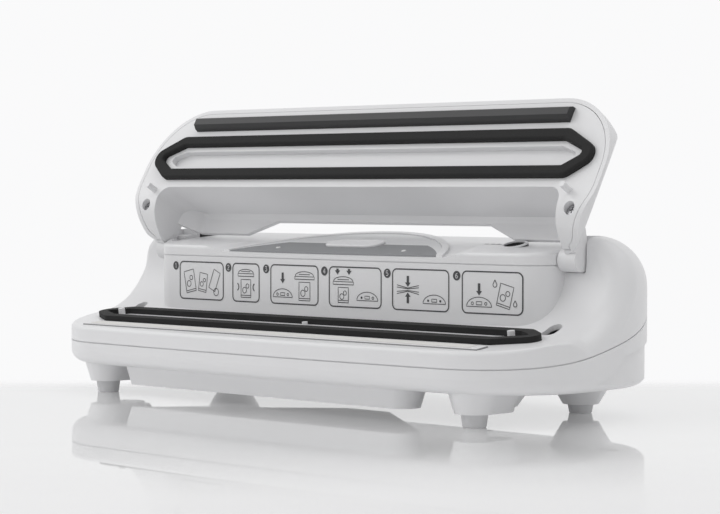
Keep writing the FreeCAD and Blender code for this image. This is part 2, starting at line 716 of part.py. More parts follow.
def make_control_deck():
    slab = block_prism("deck_slab", 0, cell("deck_level"), 110, cell("deck_rear"))
    slope = cell("deck_slope")
    top = [(cell("block_front") - 20, cell("deck_front_top") - slope * 20),
           (cell("block_front") + 80, cell("deck_front_top") + slope * 80)]
    under_top = across("deck_under_top", top + [(cell("block_front") + 80, 60), (cell("block_front") - 20, 60)])
    body_top = round_edges("deck_soft", common("deck_sloped", [slab, under_top]), 2, on_deck_edge)
    half, flare, lip = cell("scoop_half"), cell("scoop_flare"), cell("panel_lip")
    rise = (cell("deck_front_top") - lip) * 3
    reach = half + flare * 3
    scoop = sketch("scoop_front", "XZ", [(-half, 0), (half, 0), (reach, rise), (-reach, rise)])
    scoop_cut = extrude("scoop_cut", scoop, (0, 1, SIZES["panel_slope"]), 90)
    scoop_cut.Placement = Placement(Vector(0, SIZES["block_front"] - 20,
                                           SIZES["panel_lip"] - 20 * SIZES["panel_slope"]), Rotation())
    scooped = cut("deck_scooped", body_top, scoop_cut)
    rim = common("deck_rim", [half_moon("rim_disc", cell("rim_wide"), cell("deck_level"), 40),
                              block_prism("rim_block", 0.8, cell("deck_level"), 120, cell("deck_rear")),
                              panel_plane("rim_under", as_size(1.4), True)])
    moon = common("overlay_room", [half_moon("overlay_room_disc", 0.15, cell("deck_level"), 40),
                                   panel_plane("overlay_room_above", as_size(0), False)])
    core = block_prism("deck_core", cell("wall"), 70, 110, cell("deck_rear") - cell("wall"))
    start, rise = cell("block_front"), cell("panel_slope") * 20
    core_under = across("deck_core_under", [(start - 20, lip - rise - 3), (start + 20, lip + rise - 3),
                                            (start + 80, cell("deck_front_top") - 3),
                                            (start + 80, 60), (start - 20, 60)])
    core = common("deck_hollow", [core, core_under])
    ear_in = 139
    ears = [box("deck_ear_" + side, min(sign * ear_in, sign * SIZES["block_half"]), 4, cell("deck_level"),
                cell("block_half") - ear_in, 14, 6.6) for sign, side in SIDES]
    legs = [rod("deck_leg_%d_%d" % (x, y), (x, y, BOARD_LEVEL + 1.6), (0, 0, 1), 2.5, high)
            for x in (-92, 88) for y, high in ((0, 13), (32, 15))]
    solid = cut("deck_open", fuse("deck_full", [scooped, rim]), [moon, core])
    port = rod("deck_port", (0, 0, -20), (0, 0, 1), cell("port_radius") + PORT_WALL + 0.1, 40, port_place())
    seam = cut("deck_seam", block_prism("seam_out", -1, cell("deck_level"), cell("deck_level") + 0.6, 60),
               block_prism("seam_in", 0.8, cell("deck_level") - 1, cell("deck_level") + 2, 65))
    button = stadium_hole("deck_button_way", 0.35, panel_place(0, BUTTON_Y))
    lamps = [rod("deck_lamp_" + side, (0, 0, -8), (0, 0, 1), LAMP_RADIUS + 0.05, 16,
                 panel_place(sign * LAMP_X, LAMP_Y)) for sign, side in SIDES]
    bores = [rod("deck_pin_" + side, (sign * PIN_IN, cell("hinge_y"), cell("hinge_z")), (sign, 0, 0),
                 cell("pin_radius") + 0.02, 18) for sign, side in SIDES]
    final = cut("control_deck", fuse("deck_eared", [solid] + ears + legs), [port, button, seam] + lamps + bores)
    node(final, "control_deck")


def make_panel():
    disc = common("overlay_disc", [half_moon("overlay_round", -0.1, cell("deck_level"), 40),
                                   block_prism("overlay_block", 1.2, cell("deck_level"), 120, cell("deck_rear")),
                                   panel_plane("overlay_under", as_size(0.8), True),
                                   panel_plane("overlay_above", as_size(0), False)])
    holes = [stadium_hole("overlay_button", 0.35, panel_place(0, BUTTON_Y))]
    holes += [rod("overlay_lamp_" + side, (0, 0, -4), (0, 0, 1), LAMP_RADIUS + 0.05, 12,
                  panel_place(sign * LAMP_X, LAMP_Y)) for sign, side in SIDES]
    node(cut("panel_overlay", disc, holes), "panel_overlay")
    for sign, side in SIDES:
        lamp = body("lamp_" + side, panel_place(sign * LAMP_X, LAMP_Y))
        sk = body_sketch(lamp, "XZ_Plane")
        add_loop(sk, [(0, -6), (LAMP_RADIUS, -6), (LAMP_RADIUS, 0.9), (LAMP_RADIUS - 0.4, 1.3), (0, 1.3)])
        revolve(lamp, sk)
        node(lamp, "lamp_" + side)
    button = body("release_button", panel_place(0, BUTTON_Y))
    sk = body_sketch(button, "XY_Plane")
    points, arcs = stadium(SIZES["button_long"] / 2, SIZES["button_wide"] / 2)
    add_loop(sk, points, arcs)
    sk.AttachmentOffset = Placement(Vector(0, 0, -5.5), Rotation())
    cap = pad(button, sk, 7.5)
    soften(button, cap, lambda e: middle(e).z > 1.9, 0.8)
    node(button, "release_button")
    place = port_place()
    radius = cell("port_radius")
    cup = rod("port_cup", (0, 0, -15.6), (0, 0, 1), radius + PORT_WALL, 15.9, place)
    cup = round_edges("port_lip", cup, 0.6, lambda e: e.Curve.TypeId == "Part::GeomCircle"
                      and middle(e).z > place.Base.z - 3)
    foot = place.multVec(Vector(0, 0, -13))
    stem = rod("port_stem", (foot.x, foot.y, foot.z - 12), (0, 0, 1), 2.2, 12)
    well = rod("port_well", (0, 0, -13), (0, 0, 1), radius, 20, place)
    way = rod("port_way", (foot.x, foot.y, foot.z - 13), (0, 0, 1), 1.5, 14)
    node(cut("port_bush", fuse("port_body", [cup, stem]), [well, way]), "port_bush")


def make_seal_bar():
    half, place = cell("strip_half"), cell("strip_place")
    bar = body("seal_bar", CLOSED)
    sk = body_sketch(bar, "XY_Plane")
    sk.AttachmentOffset = Placement(Vector(0, 0, PLATFORM.number - 3), Rotation())
    add_loop(sk, [(-half - 8, -place - 4.5), (half + 8, -place - 4.5), (half + 8, -place + 4.5),
                  (-half - 8, -place + 4.5)])
    block = pad(bar, sk, cell("bar_proud") + 3)
    soften(bar, block, lambda e: middle(e).z > PLATFORM.number + 0.5, 0.6)
    node(bar, "seal_bar")
    top = PLATFORM + cell("bar_proud")
    node(box("heating_ribbon", -half, -place - 1.5, top, half * 2, 3, 0.15, CLOSED), "heating_ribbon")
    tape = cut("seal_tape", box("tape_sheet", -half - 2, -place - 3.2, top, half * 2 + 4, 6.4, 0.3, CLOSED),
               box("tape_room", -half, -place - 1.5, top - 1, half * 2, 3, 1.15, CLOSED))
    node(tape, "seal_tape")


def make_feet():
    spots = [("front", SIZES["foot_front_x"], SIZES["foot_front_y"], cell("foot_high")),
             ("rear", SIZES["foot_rear_x"], SIZES["foot_rear_y"], cell("foot_rear_high"))]
    for end, x, y, high in spots:
        for sign, side in SIDES:
            foot = body("foot_%s_%s" % (end, side), Placement(Vector(sign * x, y, 0), Rotation()))
            sk = body_sketch(foot, "XZ_Plane")
            radius = cell("foot_radius")
            add_loop(sk, [(0, 0), (radius - 0.8, 0), (radius - 0.4, 0.6), (radius + 0.5, high), (0, high)])
            revolve(foot, sk)
            node(foot, foot.Label)


def make_pins():
    for sign, side in SIDES:
        pin = rod("hinge_pin_" + side, (sign * PIN_IN, cell("hinge_y"), cell("hinge_z")), (sign, 0, 0),
                  cell("pin_radius"), PIN_LONG)
        node(pin, "hinge_pin_" + side)


ARM_CENTRE = (-37, 6.9)
ARM_RADIUS, ARM_BEND = 39.1, 20


def lid_outline(inset):
    """Lid seen from above in the hinge frame; the arms draw in towards the hinge."""
    half = cell("lid_half") - inset
    side = [(half, inset - cell("lid_front"), cell("lid_corner") - inset),
            (half, -cell("arm_taper"), cell("arm_bend") - inset),
            (half - cell("arm_draw"), -inset, as_size(6))]
    return rounded_path(side + [(-x, y, bend) for x, y, bend in reversed(side)])


def lid_prism(name, inset, bottom, top):
    points, arcs = lid_outline(as_size(inset))
    plan = sketch(name + "_plan", "XY", points, arcs, as_size(bottom).number)
    return extrude(name, plan, (0, 0, 1), as_size(top) - bottom)


def lid_side(name, bottom_inset):
    """Lid from the side: flat below, with arms that curve up like the base's sweep."""
    plane = cell("lid_plane") + bottom_inset
    radius, bend = as_size(ARM_RADIUS - bottom_inset), as_size(ARM_BEND - bottom_inset)
    centre_y, centre_z = as_size(ARM_CENTRE[0]), as_size(ARM_CENTRE[1])
    gap, drop = radius - bend, plane + bend - centre_z
    bend_y = centre_y + root(gap * gap - drop * drop)
    touch_y = centre_y + (bend_y - centre_y) * radius / gap
    touch_z = centre_z + drop * radius / gap
    tip_z = -6.2
    tip_rise = centre_z - tip_z
    tip_y = centre_y + root(radius * radius - tip_rise * tip_rise)
    front = -(cell("lid_front") + 20)
    points = [(front, plane), (bend_y, plane), (touch_y, touch_z), (tip_y, tip_z), (30, tip_z), (30, 40),
              (front, 40)]
    return across(name, points, {1: (bend, True), 2: (radius, True)})


def drawn_in(edge, ridge, inset):
    """Sloping side of the lid moved inwards: where it starts, 5 mm outside the edge, and its ridge."""
    rim_top = cell("lid_plane") + cell("lid_rim")
    run, rise = cell(edge) - cell(ridge), cell("lid_top") - rim_top
    shift = root(run * run + rise * rise) / rise * inset
    low = rim_top - (shift + 5) * rise / run
    return cell(edge) + 5, low, cell(edge) - shift - run * (rise - inset) / rise


def lid_dome(name, inset, edge_round, necks=()):
    """Rim and hipped top of the lid, drawn in by the skin's thickness for its inside."""
    top = cell("lid_top") - inset
    front, front_low, fold = drawn_in("lid_front", "lid_ridge_front", inset)
    half, side_low, ridge = drawn_in("lid_half", "lid_ridge_half", inset)
    roof = across(name + "_roof", [(-front, -60), (-front, front_low), (-fold, top), (30, top), (30, -60)])
    hips = sketch(name + "_hips_front", "XZ", [(-half, -60), (half, -60), (half, side_low), (ridge, top),
                                               (-ridge, top), (-half, side_low)])
    hips = extrude(name + "_hips", hips, (0, 1, 0), 40, 130)
    raw = common(name + "_raw", [lid_prism(name + "_plan", inset, -50, 40), roof, hips])
    level = SIZES["lid_plane"] + 1
    domed = round_edges(name + "_round", raw, edge_round,
                        lambda e: middle(e).z > level and middle(e).y < -1 - inset
                        and abs(e.tangentAt(e.FirstParameter).z) < 0.99)
    if necks:
        domed = fuse(name + "_necked", [domed, *necks])
    return common(name, [domed, lid_side(name + "_under", 0)])


def neck(name, drop, rear, start, far, sign):
    """Lower end of an arm, around the hinge; its top is lowered by the drop."""
    points = [(-16, -30), (-16, -6 - drop), (-4, 4.4 - drop), (rear, 6 - drop), (rear, -30)]
    obj = extrude(name, sketch(name + "_side", "YZ", points), (sign, 0, 0), far - start)
    obj.Placement = Placement(Vector(sign * start, 0, 0), Rotation())
    return obj


def room_prism(name, grow, top):
    """Space between the arms that the block fills when the lid is shut."""
    half, front = cell("room_half") + grow, -cell("room_front") - grow
    points, arcs = rounded_path([(-half, front, 8 + grow), (half, front, 8 + grow), (half, 40, 0), (-half, 40, 0)])
    return extrude(name, sketch(name + "_plan", "XY", points, arcs, -60), (0, 0, 1), as_size(top) + 60)


def make_lid():
    plane, skin = SIZES["lid_plane"], SIZES["skin"]
    top = cell("lid_top")
    start, far = SIZES["hood_in"], SIZES["hood_out"]
    necks = [neck("lid_neck_" + side, 0, -1, SIZES["room_half"] - 0.5, far, sign) for sign, side in SIDES]
    outer = lid_dome("lid_outer", 0, 5, necks)
    inner = lid_dome("lid_inner", skin, 3)
    block_room = room_prism("lid_block_room", 0, top - skin)
    rear_room = box("lid_rear_room", -cell("room_half"), -cell("lid_rear_edge"), -60, cell("room_half") * 2,
                    60, 120)
    notch_half, flare = cell("notch_half"), cell("notch_half") + cell("notch_flare")
    notch_points = [(-notch_half, -cell("notch_edge")), (notch_half, -cell("notch_edge")),
                    (flare, -cell("lid_rear_edge")), (flare, 40), (-flare, 40), (-flare, -cell("lid_rear_edge"))]
    notch = extrude("lid_notch", sketch("lid_notch_plan", "XY", notch_points, None, -60), (0, 0, 1), 120)
    hoods, rooms = [], []
    for sign, side in SIDES:
        hoods.append(rod("lid_hood_" + side, (sign * start, 0, 0), (sign, 0, 0), cell("hood_radius"), far - start))
        rooms.append(rod("lid_barrel_room_" + side, (sign * (start + 1.4), 0, 0), (sign, 0, 0),
                         cell("hood_radius") - skin, far - start - 3.4))
        rooms.append(neck("lid_neck_room_" + side, 3, -1.2, SIZES["room_half"] - 1, far - 2, sign))
        rooms.append(rod("lid_pin_way_" + side, (sign * PIN_IN, 0, 0), (sign, 0, 0),
                         cell("pin_radius") + cell("pin_play"), PIN_LONG + 0.4))
    bosses = [rod("lid_boss_" + side, (sign * LID_SCREW_X, LID_SCREW_Y, plane + 7), (0, 0, 1), 3.4, 30)
              for sign, side in SIDES]
    boss_holes = [rod("lid_boss_hole_" + side, (sign * LID_SCREW_X, LID_SCREW_Y, plane), (0, 0, 1), 1.55, 15)
                  for sign, side in SIDES]
    opened = cut("lid_opened", outer, [inner, rear_room, notch])
    shell = cut("lid_shell", fuse("lid_hooded", [opened] + hoods), rooms)
    bossed = fuse("lid_bossed", [shell, common("lid_boss_trim", [fuse("lid_bosses", bosses), inner])])
    cover = cut("lid_cover", bossed, boss_holes)
    cover.Placement = OPEN
    node(cover, "lid_cover")
    make_liner(inner, block_room, rear_room)


def make_liner(inner, block_room, rear_room):
    plane, skin = SIZES["lid_plane"], SIZES["skin"]
    room = common("liner_room", [inner, lid_prism("liner_plan", skin + 0.3, -50, 40)])
    floor = cut("liner_floor", room, lid_side("liner_over", skin))
    walls = common("liner_walls", [room_prism("liner_wall_block", skin, 30), room])
    tray = common("liner_tray", [loop_prism("tray_block", cell("gasket_wide") + 0.4, plane, 6.4, Placement()),
                                 room])
    cups = [rod("liner_cup_" + side, (sign * LID_SCREW_X, LID_SCREW_Y, plane - 6), (0, 0, 1), 5, 13)
            for sign, side in SIDES]
    cups = common("liner_cups", [fuse("liner_cup_set", cups), room])
    hollow = cut("liner_hollow", fuse("liner_plate", [floor, tray, walls, cups]), [block_room, rear_room])
    start, far = SIZES["hood_in"] + 1.7, SIZES["hood_out"] - 2.3
    barrels, bores, ways, sinks = [], [], [], []
    for sign, side in SIDES:
        barrels.append(rod("liner_barrel_" + side, (sign * start, 0, 0), (sign, 0, 0),
                           cell("hood_radius") - skin - 0.2, far - start))
        stub = neck("liner_neck_" + side, 3.2, -1.5, SIZES["room_half"], far, sign)
        barrels.append(common("liner_neck_trim_" + side, [stub, lid_side("liner_neck_under_" + side, 0)]))
        bores.append(rod("liner_bore_" + side, (sign * PIN_IN, 0, 0), (sign, 0, 0),
                         cell("pin_radius") + cell("pin_play"), PIN_LONG + 0.4))
        spot = (sign * LID_SCREW_X, LID_SCREW_Y, plane - 4)
        ways.append(rod("liner_screw_" + side, spot, (0, 0, 1), 1.7, 14))
        sinks.append(rod("liner_sink_" + side, spot, (0, 0, 1), 3.5, 9))
    recess = loop_prism("tray_recess", cell("gasket_wide") + 3, plane - 1, 5, Placement())
    strip_room = box("strip_room", -cell("strip_half"), -cell("strip_place") - cell("strip_wide") / 2,
                     plane - 1, cell("strip_half") * 2, cell("strip_wide"), 2)
    liner = cut("lid_liner", fuse("liner_full", [hollow] + barrels), [recess, strip_room] + bores + ways + sinks)
    liner.Placement = OPEN
    node(liner, "lid_liner")
    make_lid_fittings()


def make_lid_fittings():
    plane = SIZES["lid_plane"]
    strip = body("pressure_strip", OPEN)
    sk = body_sketch(strip, "YZ_Plane")
    place, wide, proud = cell("strip_place"), cell("strip_wide") / 2, cell("strip_proud")
    level = cell("lid_plane")
    add_loop(sk, [(-place - wide, level + 1), (-place - wide, level), (-place - wide + 0.5, level - 2.4),
                  (-place - wide + 2.4, level - proud), (-place + wide - 2.4, level - proud),
                  (-place + wide - 0.5, level - 2.4), (-place + wide, level), (-place + wide, level + 1)])
    bar = pad(strip, sk, cell("strip_half") * 2)
    bar.Midplane = True
    node(strip, "pressure_strip")
    pegs = [rod("switch_peg_" + side, (sign * PEG_X, PEG_Y, plane - 7), (0, 0, 1), 1.8, 7)
            for sign, side in SIDES]
    pegs = fuse("switch_pegs", pegs)
    pegs.Placement = OPEN
    node(pegs, "switch_pegs")
    screws = []
    for sign, side in SIDES:
        spot = (sign * LID_SCREW_X, LID_SCREW_Y, plane + 3.6)
        head = rod("lid_screw_head_" + side, spot, (0, 0, 1), 3.1, 1.4)
        shank = rod("lid_screw_shank_" + side, spot, (0, 0, 1), 1.5, 10.5)
        cross = [box("lid_screw_slot_%s_%d" % (side, i), spot[0] - a / 2, spot[1] - b / 2, spot[2] - 0.1,
                     a, b, 0.8) for i, (a, b) in enumerate(((3.6, 0.8), (0.8, 3.6)))]
        screws.append(cut("lid_screw_" + side, fuse("lid_screw_body_" + side, [head, shank]), cross))
    screws = fuse("lid_screws", screws)
    screws.Placement = OPEN
    node(screws, "lid_screws")


GLAND_X, GLAND_Z = -100, 34
PUMP_Y, PUMP_Z = -31, 23
MOTOR_START, MOTOR_LONG, MOTOR_RADIUS = 16, 46, 11.5
HEAD_START, HEAD_LONG = -22, 36
SWITCH_X, SWITCH_Y = PEG_X, PEG_Y
CORE = (-108, -4, 44, 30, 34)
FLOOR = SIZES["belly_level"] + SIZES["wall"]
BOARD_LEVEL = 70


def switch_ribs():
    """Ribs under the platform that hold the two lid switches by their sides."""
    ribs = []
    for sign, side in SIDES:
        for start in (SWITCH_X - 10, SWITCH_X + 7):
            low = min(sign * start, sign * (start + 3))
            ribs.append(box("switch_rib_%s_%d" % (side, start), low, SWITCH_Y - 7, PLATFORM - 16,
                            3, 14, 15, CLOSED))
    return ribs


def floor_seats():
    """Cradles on the case floor for the pump's motor."""
    seats = [cut("motor_cradle_%d" % x, box("motor_cradle_box_%d" % x, x, PUMP_Y - 9, FLOOR - 1, 5, 18, 9),
                 rod("motor_cradle_room_%d" % x, (x - 1, PUMP_Y, PUMP_Z), (1, 0, 0), MOTOR_RADIUS, 7))
             for x in (MOTOR_START + 6, MOTOR_START + MOTOR_LONG - 12)]
    return seats


def make_pump():
    motor = body("pump_motor", Placement(Vector(MOTOR_START, PUMP_Y, PUMP_Z), Rotation(Vector(0, 1, 0), 90)))
    sk = body_sketch(motor, "XZ_Plane")
    bore = cell("pump_bore")
    add_loop(sk, [(bore, 0), (MOTOR_RADIUS, 0), (MOTOR_RADIUS, MOTOR_LONG), (4, MOTOR_LONG),
                  (4, MOTOR_LONG + 3), (bore, MOTOR_LONG + 3)])
    revolve(motor, sk)
    node(motor, "pump_motor")
    block = box("head_block", HEAD_START, PUMP_Y - 14, FLOOR, HEAD_LONG, 28, 25)
    chamber = rod("head_chamber", (HEAD_START + HEAD_LONG - 16, PUMP_Y, PUMP_Z), (1, 0, 0), 9.5, 20)
    way_in = rod("head_way_in", (HEAD_START - 8, -32, 24), (1, 0, 0), 1.5, 26)
    nipple = rod("head_nipple", (HEAD_START - 8, -32, 24), (1, 0, 0), 2.2, 9)
    side_nipple = rod("head_side_nipple", (-8, PUMP_Y + 13, 26), SIDE_HOSE, 2.2, 22)
    side_way = rod("head_side_way", (-8, PUMP_Y + 13, 26), SIDE_HOSE, 1.5, 23)
    bridge = box("head_bridge", HEAD_START + HEAD_LONG - 0.5, PUMP_Y - 14, FLOOR, 2.5, 28, 2.4)
    head = fuse("head_full", [block, nipple, side_nipple, bridge])
    node(cut("pump_head", head, [chamber, way_in, side_way]), "pump_head")
    crank = body("pump_crank", Placement(Vector(HEAD_START + HEAD_LONG - 12, PUMP_Y, PUMP_Z),
                                         Rotation(Vector(0, 1, 0), 90)))
    sk = body_sketch(crank, "XZ_Plane")
    shaft = cell("pump_bore") - cell("pin_play")
    add_loop(sk, [(0, 0), (6, 0), (6, 5), (shaft, 5), (shaft, MOTOR_LONG + 12), (0, MOTOR_LONG + 12)])
    revolve(crank, sk)
    pin_sketch = crank.newObject("Sketcher::SketchObject", "crank_pin_outline")
    plane = [f for f in crank.Origin.OriginFeatures if f.Role == "XY_Plane"][0]
    pin_sketch.AttachmentSupport = (plane, [""])
    pin_sketch.MapMode = "FlatFace"
    add_circle(pin_sketch, 3.6, 0, 1.5)
    pad(crank, pin_sketch, 2.4, True)
    node(crank, "pump_crank")


PORT_FOOT = port_place().multVec(Vector(0, 0, -13))
SIDE_HOSE = tuple(Vector(PORT_FOOT.x + 8, PORT_FOOT.y - PUMP_Y - 13, 0).normalize())


def hose(label, plan_path, radius, bore, placement):
    """Bent tube along a path drawn in its own upright plane."""
    points, arcs = rounded_path(plan_path)
    spine = doc.addObject("Sketcher::SketchObject", label + "_path")
    open_path(spine, points, arcs)
    spine.Placement = placement.multiply(Placement(Vector(), PLANES["XZ"]))
    tubes = []
    start, after = (Vector(x.number, 0, z.number) for x, z in points[:2])
    turn = Rotation(Vector(0, 0, 1), after - start)
    for word, size in (("skin", radius), ("bore", bore)):
        ring = doc.addObject("Sketcher::SketchObject", "%s_%s_ring" % (label, word))
        add_circle(ring, 0, 0, size)
        ring.Placement = placement.multiply(Placement(start, turn))
        tube = doc.addObject("Part::Sweep", "%s_%s" % (label, word))
        tube.Sections = [ring]
        tube.Spine = (spine, ["Edge%d" % (i + 1) for i in range(len(points) - 1)])
        tube.Solid = True
        tube.Frenet = False
        tubes.append(tube)
    node(cut(label, tubes[0], tubes[1]), label)


def open_path(sk, points, arcs):
    spots = [Vector(as_size(x).number, as_size(y).number, 0) for x, y in points]
    last = None
    for i in range(len(spots) - 1):
        if i in arcs:
            curve, p_end = arc_between(spots[i], spots[i + 1], as_size(arcs[i][0]).number, arcs[i][1])
        else:
            curve, p_end = Part.LineSegment(spots[i], spots[i + 1]), 1
        geo = sk.addGeometry(curve, False)
        if last:
            sk.addConstraint(Sketcher.Constraint("Coincident", last[0], 3 - last[1], geo, p_end))
        pin_point(sk, geo, p_end, *points[i])
        if i in arcs:
            fix_radius(sk, geo, arcs[i][0])
        last = (geo, p_end)
    pin_point(sk, last[0], 3 - last[1], *points[-1])


def make_hoses():
    drain = CLOSED.multVec(Vector(-60, -49.2, PLATFORM.number - 12))
    hose("vacuum_hose", [(-60, drain.z + 1.2, 0), (-60, 24, 8), (HEAD_START - 7, 24, 0)], 3.6, 2.2,
         Placement(Vector(0, -32, 0), Rotation()))
    start = Vector(-8, PUMP_Y + 13, 26) + Vector(*SIDE_HOSE) * 15
    far = Vector(PORT_FOOT.x, PORT_FOOT.y, 26)
    run = (far - start).Length
    turn = Rotation(Vector(1, 0, 0), far - start)
    hose("accessory_hose", [(run, PORT_FOOT.z - 30, 0), (run, 0, 10), (0, 0, 0)], 3.6, 2.2,
         Placement(start, turn))


def make_transformer():
    x, y, wide, deep, high = CORE
    level = SIZES["floor_level"] + SIZES["wall"]
    windows = [box("core_window_%d" % i, x + start, y - 1, level + 8, 8, deep + 2, high - 16)
               for i, start in enumerate((7, wide - 15))]
    node(cut("transformer_core", box("core_block", x, y, level, wide, deep, high), windows), "transformer_core")
    ring = box("coil_block", x + 7, y - 6, level + 8, wide - 14, deep + 12, high - 16)
    ring = round_edges("coil_round", ring, 4, lambda e: abs(e.tangentAt(e.FirstParameter).z) > 0.9)
    limb = box("coil_limb", x + 15, y, level + 4, wide - 30, deep, high)
    tops = [box("coil_top_%d" % i, x - 1, y, level + start, wide + 2, deep, 9)
            for i, start in enumerate((-1, high - 8))]
    node(cut("transformer_coil", ring, [limb] + tops), "transformer_coil")


def make_board():
    board = body("control_board", Placement(Vector(0, 0, BOARD_LEVEL), Rotation()))
    sk = body_sketch(board, "XY_Plane")
    add_loop(sk, [(-100, -6), (96, -6), (96, 38), (-100, 38)])
    pad(board, sk, 1.6)
    node(board, "control_board")
    top = BOARD_LEVEL + 1.6
    parts = [rod("board_switch", (0, BUTTON_Y, top), (0, 0, 1), 3, 9.7),
             box("board_chip", -44, 8, top, 16, 10, 2),
             box("board_relay", 40, 4, top, 18, 12, 6),
             rod("board_can_a", (-70, 26, top), (0, 0, 1), 4, 7),
             rod("board_can_b", (-58, 26, top), (0, 0, 1), 4, 7)]
    node(fuse("board_parts", parts), "board_parts")


def make_switches():
    for sign, side in SIDES:
        spot = Vector(sign * SWITCH_X, SWITCH_Y, PLATFORM.number - 16)
        place = CLOSED.multiply(Placement(spot, Rotation()))
        switch = body("lid_switch_" + side, place)
        sk = body_sketch(switch, "XY_Plane")
        add_loop(sk, [(-7, -6), (7, -6), (7, 6), (-7, 6)])
        add_circle(sk, 0, 0, 2.4)
        pad(switch, sk, 12)
        node(switch, "lid_switch_" + side)
        plunger = body("switch_plunger_" + side, place)
        sk = body_sketch(plunger, "XZ_Plane")
        add_loop(sk, [(0, 4), (2, 4), (2, 14.4), (1.2, 15.2), (0, 15.2)])
        revolve(plunger, sk)
        node(plunger, "switch_plunger_" + side)


def make_small_fittings():
    spot = Vector(GLAND_X, SIZES["case_rear"], GLAND_Z)
    gland = body("cord_gland", Placement(spot, Rotation(Vector(1, 0, 0), 90)))
    sk = body_sketch(gland, "XZ_Plane")
    add_loop(sk, [(3.2, 0.2), (8, 0.2), (8, 1.3), (6, 1.3), (6, 3.2), (8.5, 3.2), (8.5, 8), (3.2, 8)])
    revolve(gland, sk)
    node(gland, "cord_gland")
    screws = []
    for i, (x, y, join) in enumerate(screw_spots()):
        head = rod("case_screw_head_%d" % i, (x, y, join - 8.2), (0, 0, 1), 3.2, 2.2)
        shank = rod("case_screw_shank_%d" % i, (x, y, join - 6.5), (0, 0, 1), 1.5, 12)
        screws.append(fuse("case_screw_%d" % i, [head, shank]))
    node(fuse("case_screws", screws), "case_screws")


def make_all():
    make_upper_case()
    make_lower_case()
    make_control_deck()
    make_panel()
    make_gaskets()
    make_seal_bar()
    make_feet()
    make_pins()
    make_lid()
    make_pump()
    make_hoses()
    make_transformer()
    make_board()
    make_switches()
    make_small_fittings()


# Nodes made of several loose pieces
SEPARATE = {"switch_pegs": 2, "lid_screws": 2, "case_screws": 6, "board_parts": 5}

make_all()
doc.recompute()
faults = [obj.Label for obj in doc.Objects if "Invalid" in obj.State or "Error" in obj.State]
for obj in NODES:
    shape = obj.Shape
    if shape.isNull() or not shape.isValid() or len(shape.Solids) != SEPARATE.get(obj.Label, 1):
        faults.append(obj.Label + " shape")
if faults:
    raise RuntimeError("not built: " + ", ".join(faults))
os.makedirs("parts", exist_ok=True)
for obj in NODES:
    obj.Shape.exportStep("parts/%s.step" % obj.Label)
    print(obj.Label, len(obj.Shape.Solids), obj.Shape.BoundBox)
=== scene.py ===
# %% [markdown]
# A vacuum sealer with its lid open, dressed for a studio picture.
#
# The frame brings in the measured parts, each already in its place. This lesson adds what the solids
# don't hold: the camera, the plastics and rubbers, the print on the front wall, the tones of the
# control panel, and the studio. What is added to the part rides on one of its bodies, so that it moves
# with the joints.

# %% Load the frame and keep its box
import math

import bpy
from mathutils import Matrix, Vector


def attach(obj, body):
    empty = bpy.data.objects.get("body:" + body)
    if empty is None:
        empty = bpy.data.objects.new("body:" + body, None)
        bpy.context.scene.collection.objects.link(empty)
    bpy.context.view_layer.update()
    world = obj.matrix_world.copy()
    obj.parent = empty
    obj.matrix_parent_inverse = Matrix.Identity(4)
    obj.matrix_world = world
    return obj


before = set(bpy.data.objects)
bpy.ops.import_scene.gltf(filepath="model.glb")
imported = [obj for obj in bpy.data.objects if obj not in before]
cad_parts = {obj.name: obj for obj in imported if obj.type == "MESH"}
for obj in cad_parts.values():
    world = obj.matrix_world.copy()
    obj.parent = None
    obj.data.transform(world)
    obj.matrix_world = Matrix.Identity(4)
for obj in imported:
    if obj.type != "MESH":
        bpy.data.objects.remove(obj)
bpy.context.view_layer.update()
MM = 0.001

# %% [markdown]
# The picture is taken from low down, in front and to the right, with a long lens that keeps the edges
# nearly parallel. A camera can be placed by eye and then nudged. Here its place, turn and lens come
# from fitting the measured outline to the photograph, so that the two pictures lie on each other.

# %% Camera
CAMERA_SPOT = (885.1 * MM, -907.5 * MM, 121.9 * MM)
CAMERA_YAW, CAMERA_PITCH = 43.787, 1.776
LENS_MM, SENSOR_MM = 111.14, 36.0

camera_data = bpy.data.cameras.new("camera")
camera_data.lens = LENS_MM
camera_data.sensor_width = SENSOR_MM
camera_data.sensor_fit = "HORIZONTAL"
camera_data.clip_start, camera_data.clip_end = 0.05, 60.0
camera = bpy.data.objects.new("camera", camera_data)
camera.location = CAMERA_SPOT
camera.rotation_euler = (math.radians(90 - CAMERA_PITCH), 0.0, math.radians(CAMERA_YAW))
bpy.context.scene.collection.objects.link(camera)
bpy.context.scene.camera = camera
print("camera at", [round(v, 3) for v in camera.location])


# %% [markdown]
# Finishes, printed frames, the table and the surround are all node trees. Each node could be made and
# wired line by line, which soon hides what a tree is for. A small helper makes one node and feeds its
# inputs, with a plain value or with the output of another node.

# %% A helper for node trees
def node(tree, kind, feeds=None, **settings):
    """A new node whose inputs are fed with plain values or with other nodes' outputs."""
    made = tree.nodes.new(kind)
    for key, value in settings.items():
        setattr(made, key, value)
    for key, feed in (feeds or {}).items():
        if isinstance(feed, bpy.types.NodeSocket):
            tree.links.new(feed, made.inputs[key])
        else:
            made.inputs[key].default_value = feed
    return made


def colour_socket(sockets, name):
    """The colour socket of a mix node that goes by this name."""
    return [s for s in sockets if s.name == name and s.type == "RGBA"][0]


# %% [markdown]
# Moulded plastic, foam and rubber are never quite one tone. Painted pictures could give them life, but
# they need unwrapped meshes. Noise that reads the object's own coordinates needs none, stays in place
# when a body moves and doesn't change with the camera, so every finish is made with it. Specks vary
# the tone, and grain gives the surface a fine relief.

# %% A finish with specks and grain
GRAIN_DETAIL, GRAIN_DEPTH = 3.0, 0.4 * MM


